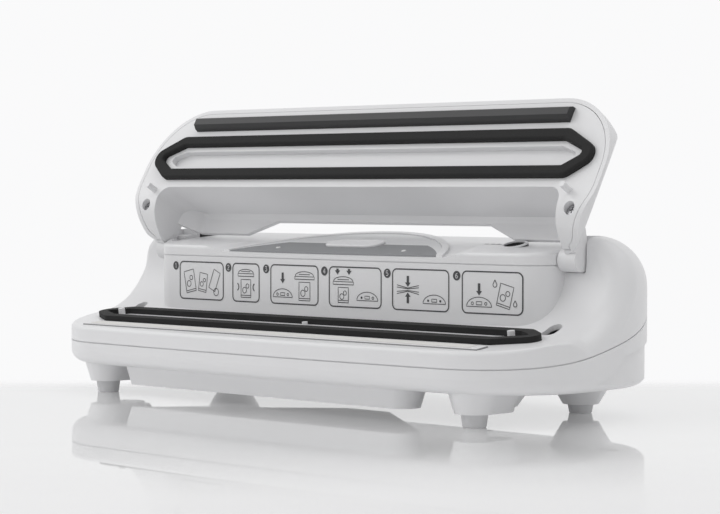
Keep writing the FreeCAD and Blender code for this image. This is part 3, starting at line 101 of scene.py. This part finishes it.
def material(name, colour, roughness, speck, grain=None, metallic=0.0, gloss=0.5):
    """A finish; speck and grain are pairs of strength and scale."""
    mat = bpy.data.materials.new(name)
    mat.use_nodes = True
    tree = mat.node_tree
    shader = tree.nodes["Principled BSDF"]
    shader.inputs["Roughness"].default_value = roughness
    shader.inputs["Metallic"].default_value = metallic
    shader.inputs["Specular IOR Level"].default_value = gloss
    place = node(tree, "ShaderNodeTexCoord").outputs["Object"]
    strength, scale = speck
    tone = node(tree, "ShaderNodeTexNoise", {"Scale": scale, "Vector": place})
    mix = node(tree, "ShaderNodeMix", {"Factor": tone.outputs["Fac"]}, name="tones", data_type="RGBA")
    for end, factor in (("A", 1 - strength), ("B", 1 + strength)):
        shade = [min(channel * factor, 1.0) for channel in colour]
        colour_socket(mix.inputs, end).default_value = (*shade, 1.0)
    tree.links.new(colour_socket(mix.outputs, "Result"), shader.inputs["Base Color"])
    if grain:
        strength, scale = grain
        noise = node(tree, "ShaderNodeTexNoise", {"Scale": scale, "Detail": GRAIN_DETAIL, "Vector": place})
        relief = node(tree, "ShaderNodeBump",
                      {"Strength": strength, "Distance": GRAIN_DEPTH, "Height": noise.outputs["Fac"]})
        tree.links.new(relief.outputs["Normal"], shader.inputs["Normal"])
    return mat


# %% [markdown]
# The part is mostly satin white, with black foam gaskets, a dark rubber strip in the lid and pale rubber
# feet. One finish for all white pieces would look like paper, so the button is glossier than the case
# and the panel's film a little darker. Print has inks of its own. Each finish is one call, because only
# a colour, a roughness and the pairs for specks and grain tell them apart.

# %% Finishes
WHITE_TONE = (0.78, 0.78, 0.79)
WHITE = material("white_plastic", WHITE_TONE, 0.36, (0.01, 40), (0.04, 1800))
WHITE_GLOSS = material("white_gloss", (0.82, 0.82, 0.83), 0.25, (0.01, 40))
FILM = material("grey_film", (0.74, 0.745, 0.755), 0.5, (0.02, 300), (0.04, 2500))
PORT = material("port_plastic", WHITE_TONE, 0.42, (0.01, 40))
BAR = material("bar_plastic", WHITE_TONE, 0.45, (0.01, 40))
FOAM = material("black_foam", (0.022, 0.022, 0.022), 0.85, (0.3, 1500), (0.35, 1600), gloss=0.25)
STRIP = material("dark_rubber", (0.03, 0.03, 0.031), 0.5, (0.1, 600), (0.08, 1500), gloss=0.4)
INK = material("print_ink", (0.06, 0.061, 0.065), 0.6, (0.05, 700))
GREY_INK = material("grey_ink", (0.3, 0.3, 0.31), 0.6, (0.03, 700))
PALE_INK = material("pale_ink", (0.6, 0.6, 0.61), 0.6, (0.03, 700))
FOOT = material("foot_rubber", (0.62, 0.62, 0.63), 0.6, (0.03, 500), (0.1, 1400))
STEEL = material("steel", (0.42, 0.42, 0.43), 0.3, (0.08, 900), metallic=1.0)
RIBBON = material("ribbon_metal", (0.6, 0.58, 0.55), 0.35, (0.1, 700), metallic=1.0)
TAPE = material("pale_tape", (0.74, 0.73, 0.71), 0.6, (0.06, 2500), (0.2, 3000))
DARK = material("dark_plastic", (0.05, 0.05, 0.055), 0.5, (0.1, 300))
HOSE = material("pale_hose", (0.7, 0.69, 0.66), 0.5, (0.03, 300))
WRAP = material("coil_wrap", (0.7, 0.5, 0.12), 0.5, (0.1, 300))
BOARD = material("board_green", (0.03, 0.2, 0.08), 0.4, (0.1, 300))
LAMP = material("lamp_clear", (0.8, 0.8, 0.8), 0.15, (0.02, 300))
print("materials in the file:", len(bpy.data.materials))


# %% [markdown]
# Three pieces have two tones. The panel's film has a grey band printed along its front. The inside of
# the accessory port and the sides of the seal bar are painted shade, dark where shade falls in the
# port's hole and along the bar's edges. The meshes could be cut along the borders, but measured parts
# stay as they are. A mask worked out from the place on the part gives the same sharp border inside the
# finish.

# %% Masks for a second tone
def within(mat, centre, radius):
    """A mask that is 1 inside an upright cylinder."""
    tree = mat.node_tree
    place = node(tree, "ShaderNodeTexCoord").outputs["Object"]
    away = node(tree, "ShaderNodeVectorMath", {0: place, 1: (*centre, 0.0)}, operation="SUBTRACT")
    flat = node(tree, "ShaderNodeVectorMath", {0: away.outputs[0], 1: (1.0, 1.0, 0.0)}, operation="MULTIPLY")
    length = node(tree, "ShaderNodeVectorMath", {0: flat.outputs[0]}, operation="LENGTH")
    inside = node(tree, "ShaderNodeMath", {0: length.outputs["Value"], 1: radius}, operation="LESS_THAN")
    return inside.outputs[0]


def along_way(mat, way):
    """How far a place on the piece lies along the way."""
    tree = mat.node_tree
    place = node(tree, "ShaderNodeTexCoord").outputs["Object"]
    return node(tree, "ShaderNodeVectorMath", {0: place, 1: way}, operation="DOT_PRODUCT").outputs["Value"]


def short_of(mat, way, level):
    """A mask that is 1 as far as this level along the way."""
    short = node(mat.node_tree, "ShaderNodeMath", {0: along_way(mat, way), 1: level}, operation="LESS_THAN")
    return short.outputs[0]


def second_tone(mat, masks, colour):
    """Gives the finish another colour where all masks are 1."""
    tree = mat.node_tree
    both = masks[0]
    for mask in masks[1:]:
        both = node(tree, "ShaderNodeMath", {0: both, 1: mask}, operation="MULTIPLY").outputs[0]
    mix = node(tree, "ShaderNodeMix", {"Factor": both}, data_type="RGBA")
    colour_socket(mix.inputs, "B").default_value = (*colour, 1.0)
    tree.links.new(colour_socket(tree.nodes["tones"].outputs, "Result"), colour_socket(mix.inputs, "A"))
    tree.links.new(colour_socket(mix.outputs, "Result"), tree.nodes["Principled BSDF"].inputs["Base Color"])


def leaning(angle):
    """The way up, leaning to the front by this many degrees."""
    return (0.0, -math.sin(math.radians(angle)), math.cos(math.radians(angle)))


# %% Give three pieces their second tone
REARWARD = (0.0, 1.0, 0.0)
BAND_REAR, BAND_CENTRE, BAND_RADIUS = 13.0 * MM, (0.0, -80.7 * MM), 108.6 * MM
BAND_TONE = (0.25, 0.255, 0.265)
second_tone(FILM, [within(FILM, BAND_CENTRE, BAND_RADIUS), short_of(FILM, REARWARD, BAND_REAR)], BAND_TONE)

# The port's inside is painted shade: a near-black tone below its lip, where the hole lies in shade.
PORT_TILT, PORT_LIP, PORT_INSIDE_SHADE = 14, 83.4 * MM, (0.05, 0.05, 0.052)
second_tone(PORT, [short_of(PORT, leaning(PORT_TILT), PORT_LIP)], PORT_INSIDE_SHADE)

# The seal bar's sides are painted shade: dark grey below the bar's top, for the shaded gap along its edge.
PLATFORM_TILT, BAR_TOP, BAR_SIDE_SHADE = 8, 49.1 * MM, (0.3, 0.3, 0.305)
second_tone(BAR, [short_of(BAR, leaning(PLATFORM_TILT), BAR_TOP)], BAR_SIDE_SHADE)
print("two tones on the film, the port and the seal bar")

# %% [markdown]
# Now each measured part gets its finish. The finish could be chosen piece by piece, but a table from
# finish to pieces shows at a glance what is moulded from the same stuff. The meshes, names and places
# of the measured parts aren't touched.

# %% Dress the measured parts
DRESS = {
    WHITE: ["lower_case", "upper_case", "control_deck", "lid_cover", "lid_liner", "switch_pegs"],
    PORT: ["port_bush"],
    BAR: ["seal_bar"],
    WHITE_GLOSS: ["release_button"],
    FILM: ["panel_overlay"],
    FOAM: ["lower_gasket", "upper_gasket"],
    STRIP: ["pressure_strip"],
    FOOT: ["foot_front_left", "foot_front_right", "foot_rear_left", "foot_rear_right"],
    STEEL: ["hinge_pin_left", "hinge_pin_right", "case_screws", "lid_screws", "pump_motor", "pump_crank",
            "transformer_core"],
    RIBBON: ["heating_ribbon"],
    TAPE: ["seal_tape"],
    DARK: ["pump_head", "lid_switch_left", "lid_switch_right", "switch_plunger_left", "switch_plunger_right",
           "cord_gland", "board_parts"],
    HOSE: ["vacuum_hose", "accessory_hose"],
    WRAP: ["transformer_coil"],
    BOARD: ["control_board"],
    LAMP: ["lamp_left", "lamp_right"],
}
for mat, names in DRESS.items():
    for name in names:
        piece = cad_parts[name]
        piece.data.materials.clear()
        piece.data.materials.append(mat)
print("finishes on", sum(len(names) for names in DRESS.values()), "measured parts")

# %% [markdown]
# The front wall carries print: six frames, each with a numbered disc and simple pictures. An image could
# be laid over the wall, but it would blur close up and would have to be unwrapped. Thin flat meshes stay
# sharp. They are drawn flat, as x across and z up in millimetres, and then laid just in front of the
# wall, which bows a little and ends in rounded corners.

# %% Lay flat drawings on the wall
WALL_FRONT, WALL_BOW, WALL_HALF, WALL_CORNER = -12.3, 3100.0, 153.2, 18.0
INK_LIFT = 0.12


def wall_y(x):
    """How far back the wall's face is at this x."""
    side = WALL_HALF - WALL_CORNER
    reach = WALL_BOW - WALL_CORNER
    if abs(x) <= side * WALL_BOW / reach:
        return WALL_FRONT + WALL_BOW - math.sqrt(WALL_BOW ** 2 - x ** 2)
    corner_y = WALL_FRONT + WALL_BOW - math.sqrt(reach ** 2 - side ** 2)
    return corner_y - math.sqrt(WALL_CORNER ** 2 - (abs(x) - side) ** 2)


def on_wall(x, z, lift=INK_LIFT):
    """The place in metres of a drawn point, a little in front of the wall."""
    return (x * MM, (wall_y(x) - lift) * MM, z * MM)


def print_piece(name, verts, faces, ink):
    """A printed piece on the base."""
    mesh = bpy.data.meshes.new(name)
    mesh.from_pydata(verts, [], faces)
    mesh.materials.append(ink)
    piece = bpy.data.objects.new(name, mesh)
    bpy.context.scene.collection.objects.link(piece)
    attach(piece, "base")
    return piece


print("the wall bows back by", round(wall_y(WALL_HALF - WALL_CORNER) - wall_y(0), 2), "mm before its corners")


# %% [markdown]
# A printed frame is a line of even width around a rounded rectangle. Six of them could be drawn point by
# point, but they differ only in width. One Geometry Nodes tree therefore makes them all: a rectangle,
# rounded corners, evenly spaced points, and a short line swept along them.

# %% Frame tree
CORNER_POINTS, RIM_POINTS = 8, 160


def frame_tree():
    """The tree that draws a frame, and the identifiers of its inputs."""
    tree = bpy.data.node_groups.new("rounded_frame", "GeometryNodeTree")
    sockets = {}
    for label in ("Width", "Height", "Corner", "Line"):
        socket = tree.interface.new_socket(label, in_out="INPUT", socket_type="NodeSocketFloat")
        sockets[label] = socket.identifier
    ink = tree.interface.new_socket("Ink", in_out="INPUT", socket_type="NodeSocketMaterial")
    sockets["Ink"] = ink.identifier
    tree.interface.new_socket("Geometry", in_out="OUTPUT", socket_type="NodeSocketGeometry")
    given = node(tree, "NodeGroupInput").outputs
    outline = node(tree, "GeometryNodeCurvePrimitiveQuadrilateral",
                   {"Width": given["Width"], "Height": given["Height"]})
    corners = {"Curve": outline.outputs["Curve"], "Radius": given["Corner"], "Count": CORNER_POINTS}
    rounded = node(tree, "GeometryNodeFilletCurve", corners, mode="POLY")
    even = node(tree, "GeometryNodeResampleCurve", {"Curve": rounded.outputs["Curve"], "Count": RIM_POINTS})
    ends = []
    for share in (-0.5, 0.5):
        reach = node(tree, "ShaderNodeMath", {0: given["Line"], 1: share}, operation="MULTIPLY")
        ends.append(node(tree, "ShaderNodeCombineXYZ", {"X": reach.outputs[0]}).outputs[0])
    band = node(tree, "GeometryNodeCurvePrimitiveLine", {"Start": ends[0], "End": ends[1]})
    swept = node(tree, "GeometryNodeCurveToMesh",
                 {"Curve": even.outputs["Curve"], "Profile Curve": band.outputs["Curve"]})
    real = node(tree, "GeometryNodeRealizeInstances", {"Geometry": swept.outputs["Mesh"]})
    inked = node(tree, "GeometryNodeSetMaterial",
                 {"Geometry": real.outputs["Geometry"], "Material": given["Ink"]})
    node(tree, "NodeGroupOutput", {"Geometry": inked.outputs["Geometry"]})
    return tree, sockets


FRAME_TREE, FRAME_SOCKETS = frame_tree()
print("the frame tree has", len(FRAME_TREE.nodes), "nodes")

# %% Six frames
FRAME_LOW, FRAME_HIGH = 55.2, 77.5
FRAME_MID = (FRAME_LOW + FRAME_HIGH) / 2
FRAMES = [(-126.6, -86.6), (-78.0, -55.0), (-45.0, -6.0), (3.0, 43.0), (51.5, 92.0), (101.4, 141.4)]
FRAME_CORNER, FRAME_LINE = 3.0, 0.75


def frame_band(name, width):
    """Flat vertices and faces of one frame, in millimetres."""
    carrier = bpy.data.objects.new(name + "_carrier", bpy.data.meshes.new(name + "_carrier"))
    bpy.context.scene.collection.objects.link(carrier)
    modifier = carrier.modifiers.new("frame", "NODES")
    modifier.node_group = FRAME_TREE
    inputs = {"Width": width, "Height": FRAME_HIGH - FRAME_LOW, "Corner": FRAME_CORNER, "Line": FRAME_LINE,
              "Ink": INK}
    for label, value in inputs.items():
        modifier[FRAME_SOCKETS[label]] = value
    evaluated = carrier.evaluated_get(bpy.context.evaluated_depsgraph_get())
    made = bpy.data.meshes.new_from_object(evaluated)
    verts = [(v.co.x, v.co.y) for v in made.vertices]
    faces = [tuple(p.vertices) for p in made.polygons]
    bpy.data.objects.remove(carrier)
    bpy.data.meshes.remove(made)
    return verts, faces


for number, (left, right) in enumerate(FRAMES, 1):
    flat, faces = frame_band("frame_%d" % number, right - left)
    verts = [on_wall(x + (left + right) / 2, z + FRAME_MID) for x, z in flat]
    piece = print_piece("frame_%d" % number, verts, faces, INK)
    print(piece.name, "has", len(piece.data.polygons), "faces")


# %% [markdown]
# The pictures inside the frames are line drawings. Curves with a bevel could draw them, but each would
# have to be made a mesh before it is laid on the bowed wall. Two kinds of shape are enough: a stroke, which
# is a band of even width along a line of points, and a filled convex outline. Both are plain lists of
# points and faces, so many of them join into one piece.

# %% Strokes and fills
LONGEST_STEP = 2.0


def spaced(points):
    """The same line with no stretch longer than the longest step, so that it follows the bow."""
    dense = [points[0]]
    for (ax, az), (bx, bz) in zip(points, points[1:]):
        count = max(1, math.ceil(math.hypot(bx - ax, bz - az) / LONGEST_STEP))
        dense += [(ax + (bx - ax) * i / count, az + (bz - az) * i / count) for i in range(1, count + 1)]
    return dense


def stroke(points, width):
    """Vertices and faces of a band along the points."""
    line = spaced(points)
    verts = []
    for i, (x, z) in enumerate(line):
        ax, az = line[max(i - 1, 0)]
        bx, bz = line[min(i + 1, len(line) - 1)]
        far = math.hypot(bx - ax, bz - az) or 1.0
        nx, nz = -(bz - az) / far * width / 2, (bx - ax) / far * width / 2
        verts += [(x + nx, z + nz), (x - nx, z - nz)]
    faces = [(2 * i, 2 * i + 1, 2 * i + 3, 2 * i + 2) for i in range(len(line) - 1)]
    return verts, faces


def fill(points):
    """Vertices and the one face of a filled outline."""
    return list(points), [tuple(range(len(points)))]


def gather(shapes):
    """Many drawn shapes as one list of vertices and faces."""
    verts, faces = [], []
    for shape_verts, shape_faces in shapes:
        start = len(verts)
        verts += shape_verts
        faces += [tuple(i + start for i in face) for face in shape_faces]
    return verts, faces


# %% Outlines to draw with
def arc(x, z, radius, start, end, count=16, squash=1.0):
    """Points on an arc between two angles in degrees."""
    steps = [math.radians(start + (end - start) * i / count) for i in range(count + 1)]
    return [(x + radius * math.cos(t), z + radius * squash * math.sin(t)) for t in steps]


def circle(x, z, radius, count=16):
    """Points on a circle, the first one also as the last."""
    return arc(x, z, radius, 0, 360, count)


def rectangle(x, z, wide, high):
    """The corners of a rectangle about its middle."""
    return [(x - wide / 2, z - high / 2), (x + wide / 2, z - high / 2), (x + wide / 2, z + high / 2),
            (x - wide / 2, z + high / 2)]


def closed(points):
    """The outline as a line that runs on along its first side, so that its first corner is filled."""
    return list(points) + [points[0], points[1]]


def turned(points, x, z, angle):
    """Points turned about (x, z), in degrees."""
    c, s = math.cos(math.radians(angle)), math.sin(math.radians(angle))
    return [(x + (px - x) * c - (pz - z) * s, z + (px - x) * s + (pz - z) * c) for px, pz in points]


# %% [markdown]
# The six pictures show how the machine is used, and they share a few motifs: a bag, the machine from the
# front, its panel as a half moon, a block arrow, a drop and a pair of grips. Each motif is a function that
# draws around a point, so that a picture is only a list of motifs and places.

# %% Motifs of the bag and the machine
THIN = 0.42
SEAM_RISE = 1.2
FILLING = [(-0.14, -0.1, 0.2), (0.16, 0.14, 0.15)]
DOME_SQUASH = 0.34
BASE_DROP, BASE_SHARE, BASE_HIGH = 1.1, 1.06, 1.6
EDGE_SHARE, EDGE_RISE = 0.3, 0.9


def bag(x, z, wide, high, angle=0):
    """A bag with a seam above its foot and two round things inside, in shares of its width and height."""
    seam = z - high / 2 + SEAM_RISE
    lines = [closed(rectangle(x, z, wide, high)), [(x - wide / 2, seam), (x + wide / 2, seam)]]
    lines += [circle(x + wide * across, z + high * up, wide * radius) for across, up, radius in FILLING]
    return [stroke(turned(line, x, z, angle), THIN) for line in lines]


def machine(x, z, wide):
    """The machine from the front: a flat dome with a line across it, on a long base."""
    dome = arc(x, z, wide / 2, 0, 180, 20, DOME_SQUASH)
    base = closed(rectangle(x, z - BASE_DROP, wide * BASE_SHARE, BASE_HIGH))
    edge = [(x - wide * EDGE_SHARE, z + EDGE_RISE), (x + wide * EDGE_SHARE, z + EDGE_RISE)]
    return [stroke(line, THIN) for line in (dome, base, edge)]


# %% Motifs of the panel and the signs
MOON_SQUASH, MOON_JOIN = 0.6, 0.49
KEY_RISE, KEY_WIDE, KEY_HIGH = 0.11, 0.22, 0.1
LAMP_ACROSS, LAMP_RISE, LAMP_RADIUS = 0.27, 0.1, 0.045
HEAD_HALF, HEAD_LONG, SHAFT_WIDE, SHAFT_START = 2.0, 2.4, 1.7, 2.3
DROP_TIP = 2.0
GRIP_RADIUS, GRIP_LINE = 2.4, 0.7


def panel(x, z, wide, lit):
    """The control panel as a half moon, with this many of its two lamps filled."""
    moon = arc(x, z, wide / 2, 0, 180, 22, MOON_SQUASH) + [(x + wide / 2, z), (x + wide * MOON_JOIN, z)]
    key = closed(rectangle(x, z + wide * KEY_RISE, wide * KEY_WIDE, wide * KEY_HIGH))
    shapes = [stroke(moon, THIN), stroke(key, THIN)]
    for i, side in enumerate((-1, 1)):
        lamp = circle(x + side * wide * LAMP_ACROSS, z + wide * LAMP_RISE, wide * LAMP_RADIUS, 10)
        shapes.append(fill(lamp[:-1]) if i < lit else stroke(lamp, THIN))
    return shapes


def arrow(x, tip, length, up=False):
    """A block arrow whose tip is at this height; its shaft starts just inside the head."""
    way = 1 if up else -1
    head = [(x - HEAD_HALF, tip - way * HEAD_LONG), (x + HEAD_HALF, tip - way * HEAD_LONG), (x, tip)]
    shaft_long = length - SHAFT_START
    shaft = rectangle(x, tip - way * (SHAFT_START + shaft_long / 2), SHAFT_WIDE, shaft_long)
    return [fill(head), fill(shaft)]


def drop(x, z, size):
    """A round drop that is drawn up to a tip."""
    tip = (x, z + size * DROP_TIP)
    return [stroke([tip] + arc(x, z, size, 150, 390) + [tip], THIN)]


def grips(x, z, spread):
    """Two curved marks that press in from both sides."""
    left = arc(x - spread, z, GRIP_RADIUS, -60, 60, 10)
    right = arc(x + spread, z, GRIP_RADIUS, 120, 240, 10)
    return [stroke(left, GRIP_LINE), stroke(right, GRIP_LINE)]


# %% Pictures in the six frames
def bags_to_fill(x, z):
    """Two bags, and a leaning sheet with a disc."""
    sheet = turned(rectangle(x + 12, z + 0.5, 6, 12), x + 12, z + 0.5, -24)
    return (bag(x - 10.5, z - 0.5, 9, 13, 12) + bag(x + 1.5, z - 1.0, 7, 11, -8)
            + [stroke(closed(sheet), THIN), stroke(circle(x + 13.5, z - 6.4, 2.2), THIN)])


def bag_held_to_machine(x, z):
    """A bag at the machine, held on both sides."""
    return machine(x, z + 5.6, 13) + bag(x, z - 3.4, 8.5, 10.5) + grips(x, z - 2.6, 8.6)


def panel_pressed(x, z):
    """The panel is pressed while the bag is in the machine."""
    return (machine(x + 8.5, z + 5.2, 15) + bag(x + 8.5, z - 3.6, 9, 10.5) + panel(x - 9.5, z - 7.4, 16, 0)
            + arrow(x - 9.5, z + 0.6, 6.2))


def lid_pressed(x, z):
    """The lid is pressed at both ends, and the first lamp is lit."""
    return (panel(x + 9.5, z - 7.2, 16, 1) + machine(x - 9, z + 3.2, 15) + arrow(x - 13.5, z + 6.8, 3.4)
            + arrow(x - 4.5, z + 6.8, 3.4) + bag(x - 9, z - 4.6, 8, 8.5))


def bag_sealed(x, z):
    """Four sheets are pressed together from both sides, and both lamps are lit."""
    sheets = [[(x - 17, z + 1.2 * k), (x - 9, z + 0.45 * k), (x - 1, z + 1.2 * k)] for k in (-2, -1, 1, 2)]
    return ([stroke(sheet, THIN) for sheet in sheets] + arrow(x - 9, z + 1.5, 6)
            + arrow(x - 9, z - 1.5, 6, True) + panel(x + 10, z - 7.2, 16, 2))


def bag_taken_out(x, z):
    """The panel is pressed again, and the bag comes out among drops."""
    return (panel(x - 8.5, z - 7.6, 17, 0) + arrow(x - 8.5, z - 1.6, 6.5) + bag(x + 9, z - 1.5, 9, 12, -14)
            + drop(x + 2.2, z + 4.4, 1.3) + drop(x + 15.6, z - 5.8, 1.1))


PICTURES = [bags_to_fill, bag_held_to_machine, panel_pressed, lid_pressed, bag_sealed, bag_taken_out]
for number, (draw, (left, right)) in enumerate(zip(PICTURES, FRAMES), 1):
    flat, faces = gather(draw((left + right) / 2, FRAME_MID))
    piece = print_piece("picture_%d" % number, [on_wall(x, z) for x, z in flat], faces, INK)
    print(piece.name, "has", len(piece.data.polygons), "faces")

# %% [markdown]
# A dark disc with a pale number stands at the upper left of each frame. Text objects could give the
# numbers, but a font draws them with far more points than such small print needs. Each digit is one short
# stroke, drawn about the disc's middle and laid a little above it.

# %% Numbered discs
DISC_RADIUS, DISC_GAP, DISC_DROP, DISC_POINTS = 2.6, 3.9, 2.6, 28
DIGIT_LINE, DIGIT_LIFT = 0.5, INK_LIFT + 0.1
DIGITS = [
    [(-0.5, 0.8), (0.2, 1.4), (0.2, -1.4)],
    [(-0.8, 0.8), (-0.4, 1.35), (0.4, 1.35), (0.8, 0.7), (-0.8, -1.35), (0.85, -1.35)],
    [(-0.8, 1.35), (0.75, 1.35), (-0.1, 0.3), (0.7, -0.2), (0.6, -1.1), (-0.2, -1.4), (-0.85, -1.0)],
    [(0.5, -1.4), (0.5, 1.4), (-0.9, -0.5), (0.95, -0.5)],
    [(0.7, 1.35), (-0.65, 1.35), (-0.7, 0.15), (0.4, 0.25), (0.75, -0.5), (0.4, -1.25), (-0.8, -1.25)],
    [(0.6, 1.3), (-0.3, 0.9), (-0.8, -0.3), (-0.4, -1.25), (0.4, -1.25), (0.75, -0.5), (0.2, 0.15),
     (-0.7, -0.2)],
]
for number, ((left, _), digit) in enumerate(zip(FRAMES, DIGITS), 1):
    x, z = left - DISC_GAP, FRAME_HIGH - DISC_DROP
    flat, faces = fill(circle(x, z, DISC_RADIUS, DISC_POINTS)[:-1])
    print_piece("disc_%d" % number, [on_wall(px, pz) for px, pz in flat], faces, INK)
    flat, faces = stroke([(x + px, z + pz) for px, pz in digit], DIGIT_LINE)
    print_piece("digit_%d" % number, [on_wall(px, pz, DIGIT_LIFT) for px, pz in flat], faces, PALE_INK)
print("discs:", len(FRAMES))

# %% [markdown]
# On the deck, a small grey mark leads to the accessory port: two dashes and a point. It is print as well,
# so it is drawn with the same fills, as x across and y to the rear, and laid on the sloping deck.

# %% Mark on the deck
DECK_FRONT, DECK_LEVEL, DECK_SLOPE = -12.3, 87.4, 0.09
MARK_Y = 27.0
DASH_PLACES, DASH_LONG, DASH_WIDE = (86.5, 91.0), 3.0, 1.6
POINT_START, POINT_END, POINT_HALF = 94.0, 98.0, 1.8


def on_deck(x, y):
    """The place in metres of a drawn point, a little above the deck."""
    return (x * MM, y * MM, (DECK_LEVEL + DECK_SLOPE * (y - DECK_FRONT) + INK_LIFT) * MM)


dashes = [rectangle(x, MARK_Y, DASH_LONG, DASH_WIDE) for x in DASH_PLACES]
point = [(POINT_START, MARK_Y - POINT_HALF), (POINT_END, MARK_Y), (POINT_START, MARK_Y + POINT_HALF)]
flat, faces = gather([fill(outline) for outline in dashes + [point]])
piece = print_piece("port_mark", [on_deck(x, y) for x, y in flat], faces, GREY_INK)
print(piece.name, "has", len(piece.data.polygons), "faces")


# %% [markdown]
# The machine stands on a pale glossy table that mirrors it. A mirror over the whole table would double
# the picture, so the mirror fades out towards the viewer, and the table itself fades into the white
# surround behind the machine. Both fades depend on the place on the table only.

# %% Table
TABLE_HALF = 4.0
TABLE_TONE, TABLE_GLOW = (0.7, 0.7, 0.705), 0.2
MIRROR_TONE, MIRROR_BLUR = (0.9, 0.9, 0.9, 1.0), 0.02
MIRROR_FROM, MIRROR_TO, MIRROR_NEAR, MIRROR_FAR = 0.86, 1.06, 0.05, 0.65
END_FROM, END_TO = 1.345, 1.42
VIEW_WAY = (-math.sin(math.radians(CAMERA_YAW)), math.cos(math.radians(CAMERA_YAW)), 0.0)
VIEW_START = sum(a * b for a, b in zip(VIEW_WAY, CAMERA_SPOT))


def fade(mat, start, end, low, high):
    """Goes from low to high between two distances from the camera along the view."""
    reach = {"Value": along_way(mat, VIEW_WAY), "From Min": VIEW_START + start, "From Max": VIEW_START + end,
             "To Min": low, "To Max": high}
    return node(mat.node_tree, "ShaderNodeMapRange", reach, interpolation_type="SMOOTHSTEP").outputs["Result"]


def table_top():
    """The table's finish: a plain top, over it the mirror, and nothing at all at the far end."""
    mat = material("table_top", TABLE_TONE, 0.6, (0.005, 5), gloss=0.2)
    tree = mat.node_tree
    plain = tree.nodes["Principled BSDF"]
    plain.inputs["Emission Color"].default_value = (1.0, 1.0, 1.0, 1.0)
    plain.inputs["Emission Strength"].default_value = TABLE_GLOW
    mirror = node(tree, "ShaderNodeBsdfGlossy", {"Color": MIRROR_TONE, "Roughness": MIRROR_BLUR})
    mirror_share = fade(mat, MIRROR_FROM, MIRROR_TO, MIRROR_NEAR, MIRROR_FAR)
    both = node(tree, "ShaderNodeMixShader", {"Fac": mirror_share, 1: plain.outputs[0], 2: mirror.outputs[0]})
    clear = node(tree, "ShaderNodeBsdfTransparent")
    clear_share = fade(mat, END_FROM, END_TO, 0.0, 1.0)
    ended = node(tree, "ShaderNodeMixShader", {"Fac": clear_share, 1: both.outputs[0], 2: clear.outputs[0]})
    tree.links.new(ended.outputs[0], tree.nodes["Material Output"].inputs["Surface"])
    return mat


corners = rectangle(0.0, 0.0, 2 * TABLE_HALF, 2 * TABLE_HALF)
table_mesh = bpy.data.meshes.new("table")
table_mesh.from_pydata([(x, y, 0.0) for x, y in corners], [], [(0, 1, 2, 3)])
table_mesh.materials.append(table_top())
table = bpy.data.objects.new("table", table_mesh)
bpy.context.scene.collection.objects.link(table)
print("table of", 2 * TABLE_HALF, "metres a side")

# %% [markdown]
# The photograph has a white background, but a surround that is bright enough to look white would wash
# out the white plastic. The world is therefore split: the camera and mirror-like surfaces see nearly
# white, while the part is lit by a dimmer surround.

# %% Surround
SURROUND_LIGHT = 0.5
SURROUND_SEEN = (0.955, 0.955, 0.96, 1.0)

world = bpy.data.worlds.new("surround")
bpy.context.scene.world = world
world.use_nodes = True
tree = world.node_tree
soft = tree.nodes["Background"]
soft.inputs["Color"].default_value = (1.0, 1.0, 1.0, 1.0)
soft.inputs["Strength"].default_value = SURROUND_LIGHT
seen = node(tree, "ShaderNodeBackground", {"Color": SURROUND_SEEN, "Strength": 1.0})
path = node(tree, "ShaderNodeLightPath").outputs
rays = {0: path["Is Camera Ray"], 1: path["Is Glossy Ray"]}
either = node(tree, "ShaderNodeMath", rays, operation="MAXIMUM")
split = node(tree, "ShaderNodeMixShader", {"Fac": either.outputs[0], 1: soft.outputs[0], 2: seen.outputs[0]})
tree.links.new(split.outputs[0], tree.nodes["World Output"].inputs["Surface"])
print("surround of strength", SURROUND_LIGHT)

# %% [markdown]
# Three large lamps shape the white plastic: one in front, one from the left, and one above, a little to
# the right and behind, which lights the deck and the top of the hump. Small lamps would give hard
# shadows, which a white studio doesn't have, so each lamp is more than a metre wide.

# %% Lights
# Each row has a name, a place and an aim in metres, a width in metres and a power in watts.
LIGHTS = [
    ("light_front", (-0.4, -1.4, 1.4), (0.0, 0.0, 0.08), 1.2, 5.0),
    ("light_left", (-1.3, -0.7, 1.3), (0.0, 0.0, 0.1), 1.2, 6.0),
    ("light_top", (0.5, 0.3, 1.7), (0.0, 0.0, 0.05), 1.6, 8.0),
]
for name, spot, aim, width, power in LIGHTS:
    lamp = bpy.data.lights.new(name, "AREA")
    lamp.size = width
    lamp.energy = power
    light = bpy.data.objects.new(name, lamp)
    light.location = spot
    light.rotation_euler = (Vector(aim) - Vector(spot)).to_track_quat("-Z", "Y").to_euler()
    bpy.context.scene.collection.objects.link(light)
bpy.context.scene.view_settings.view_transform = "Standard"
print("lights:", ", ".join(row[0] for row in LIGHTS))
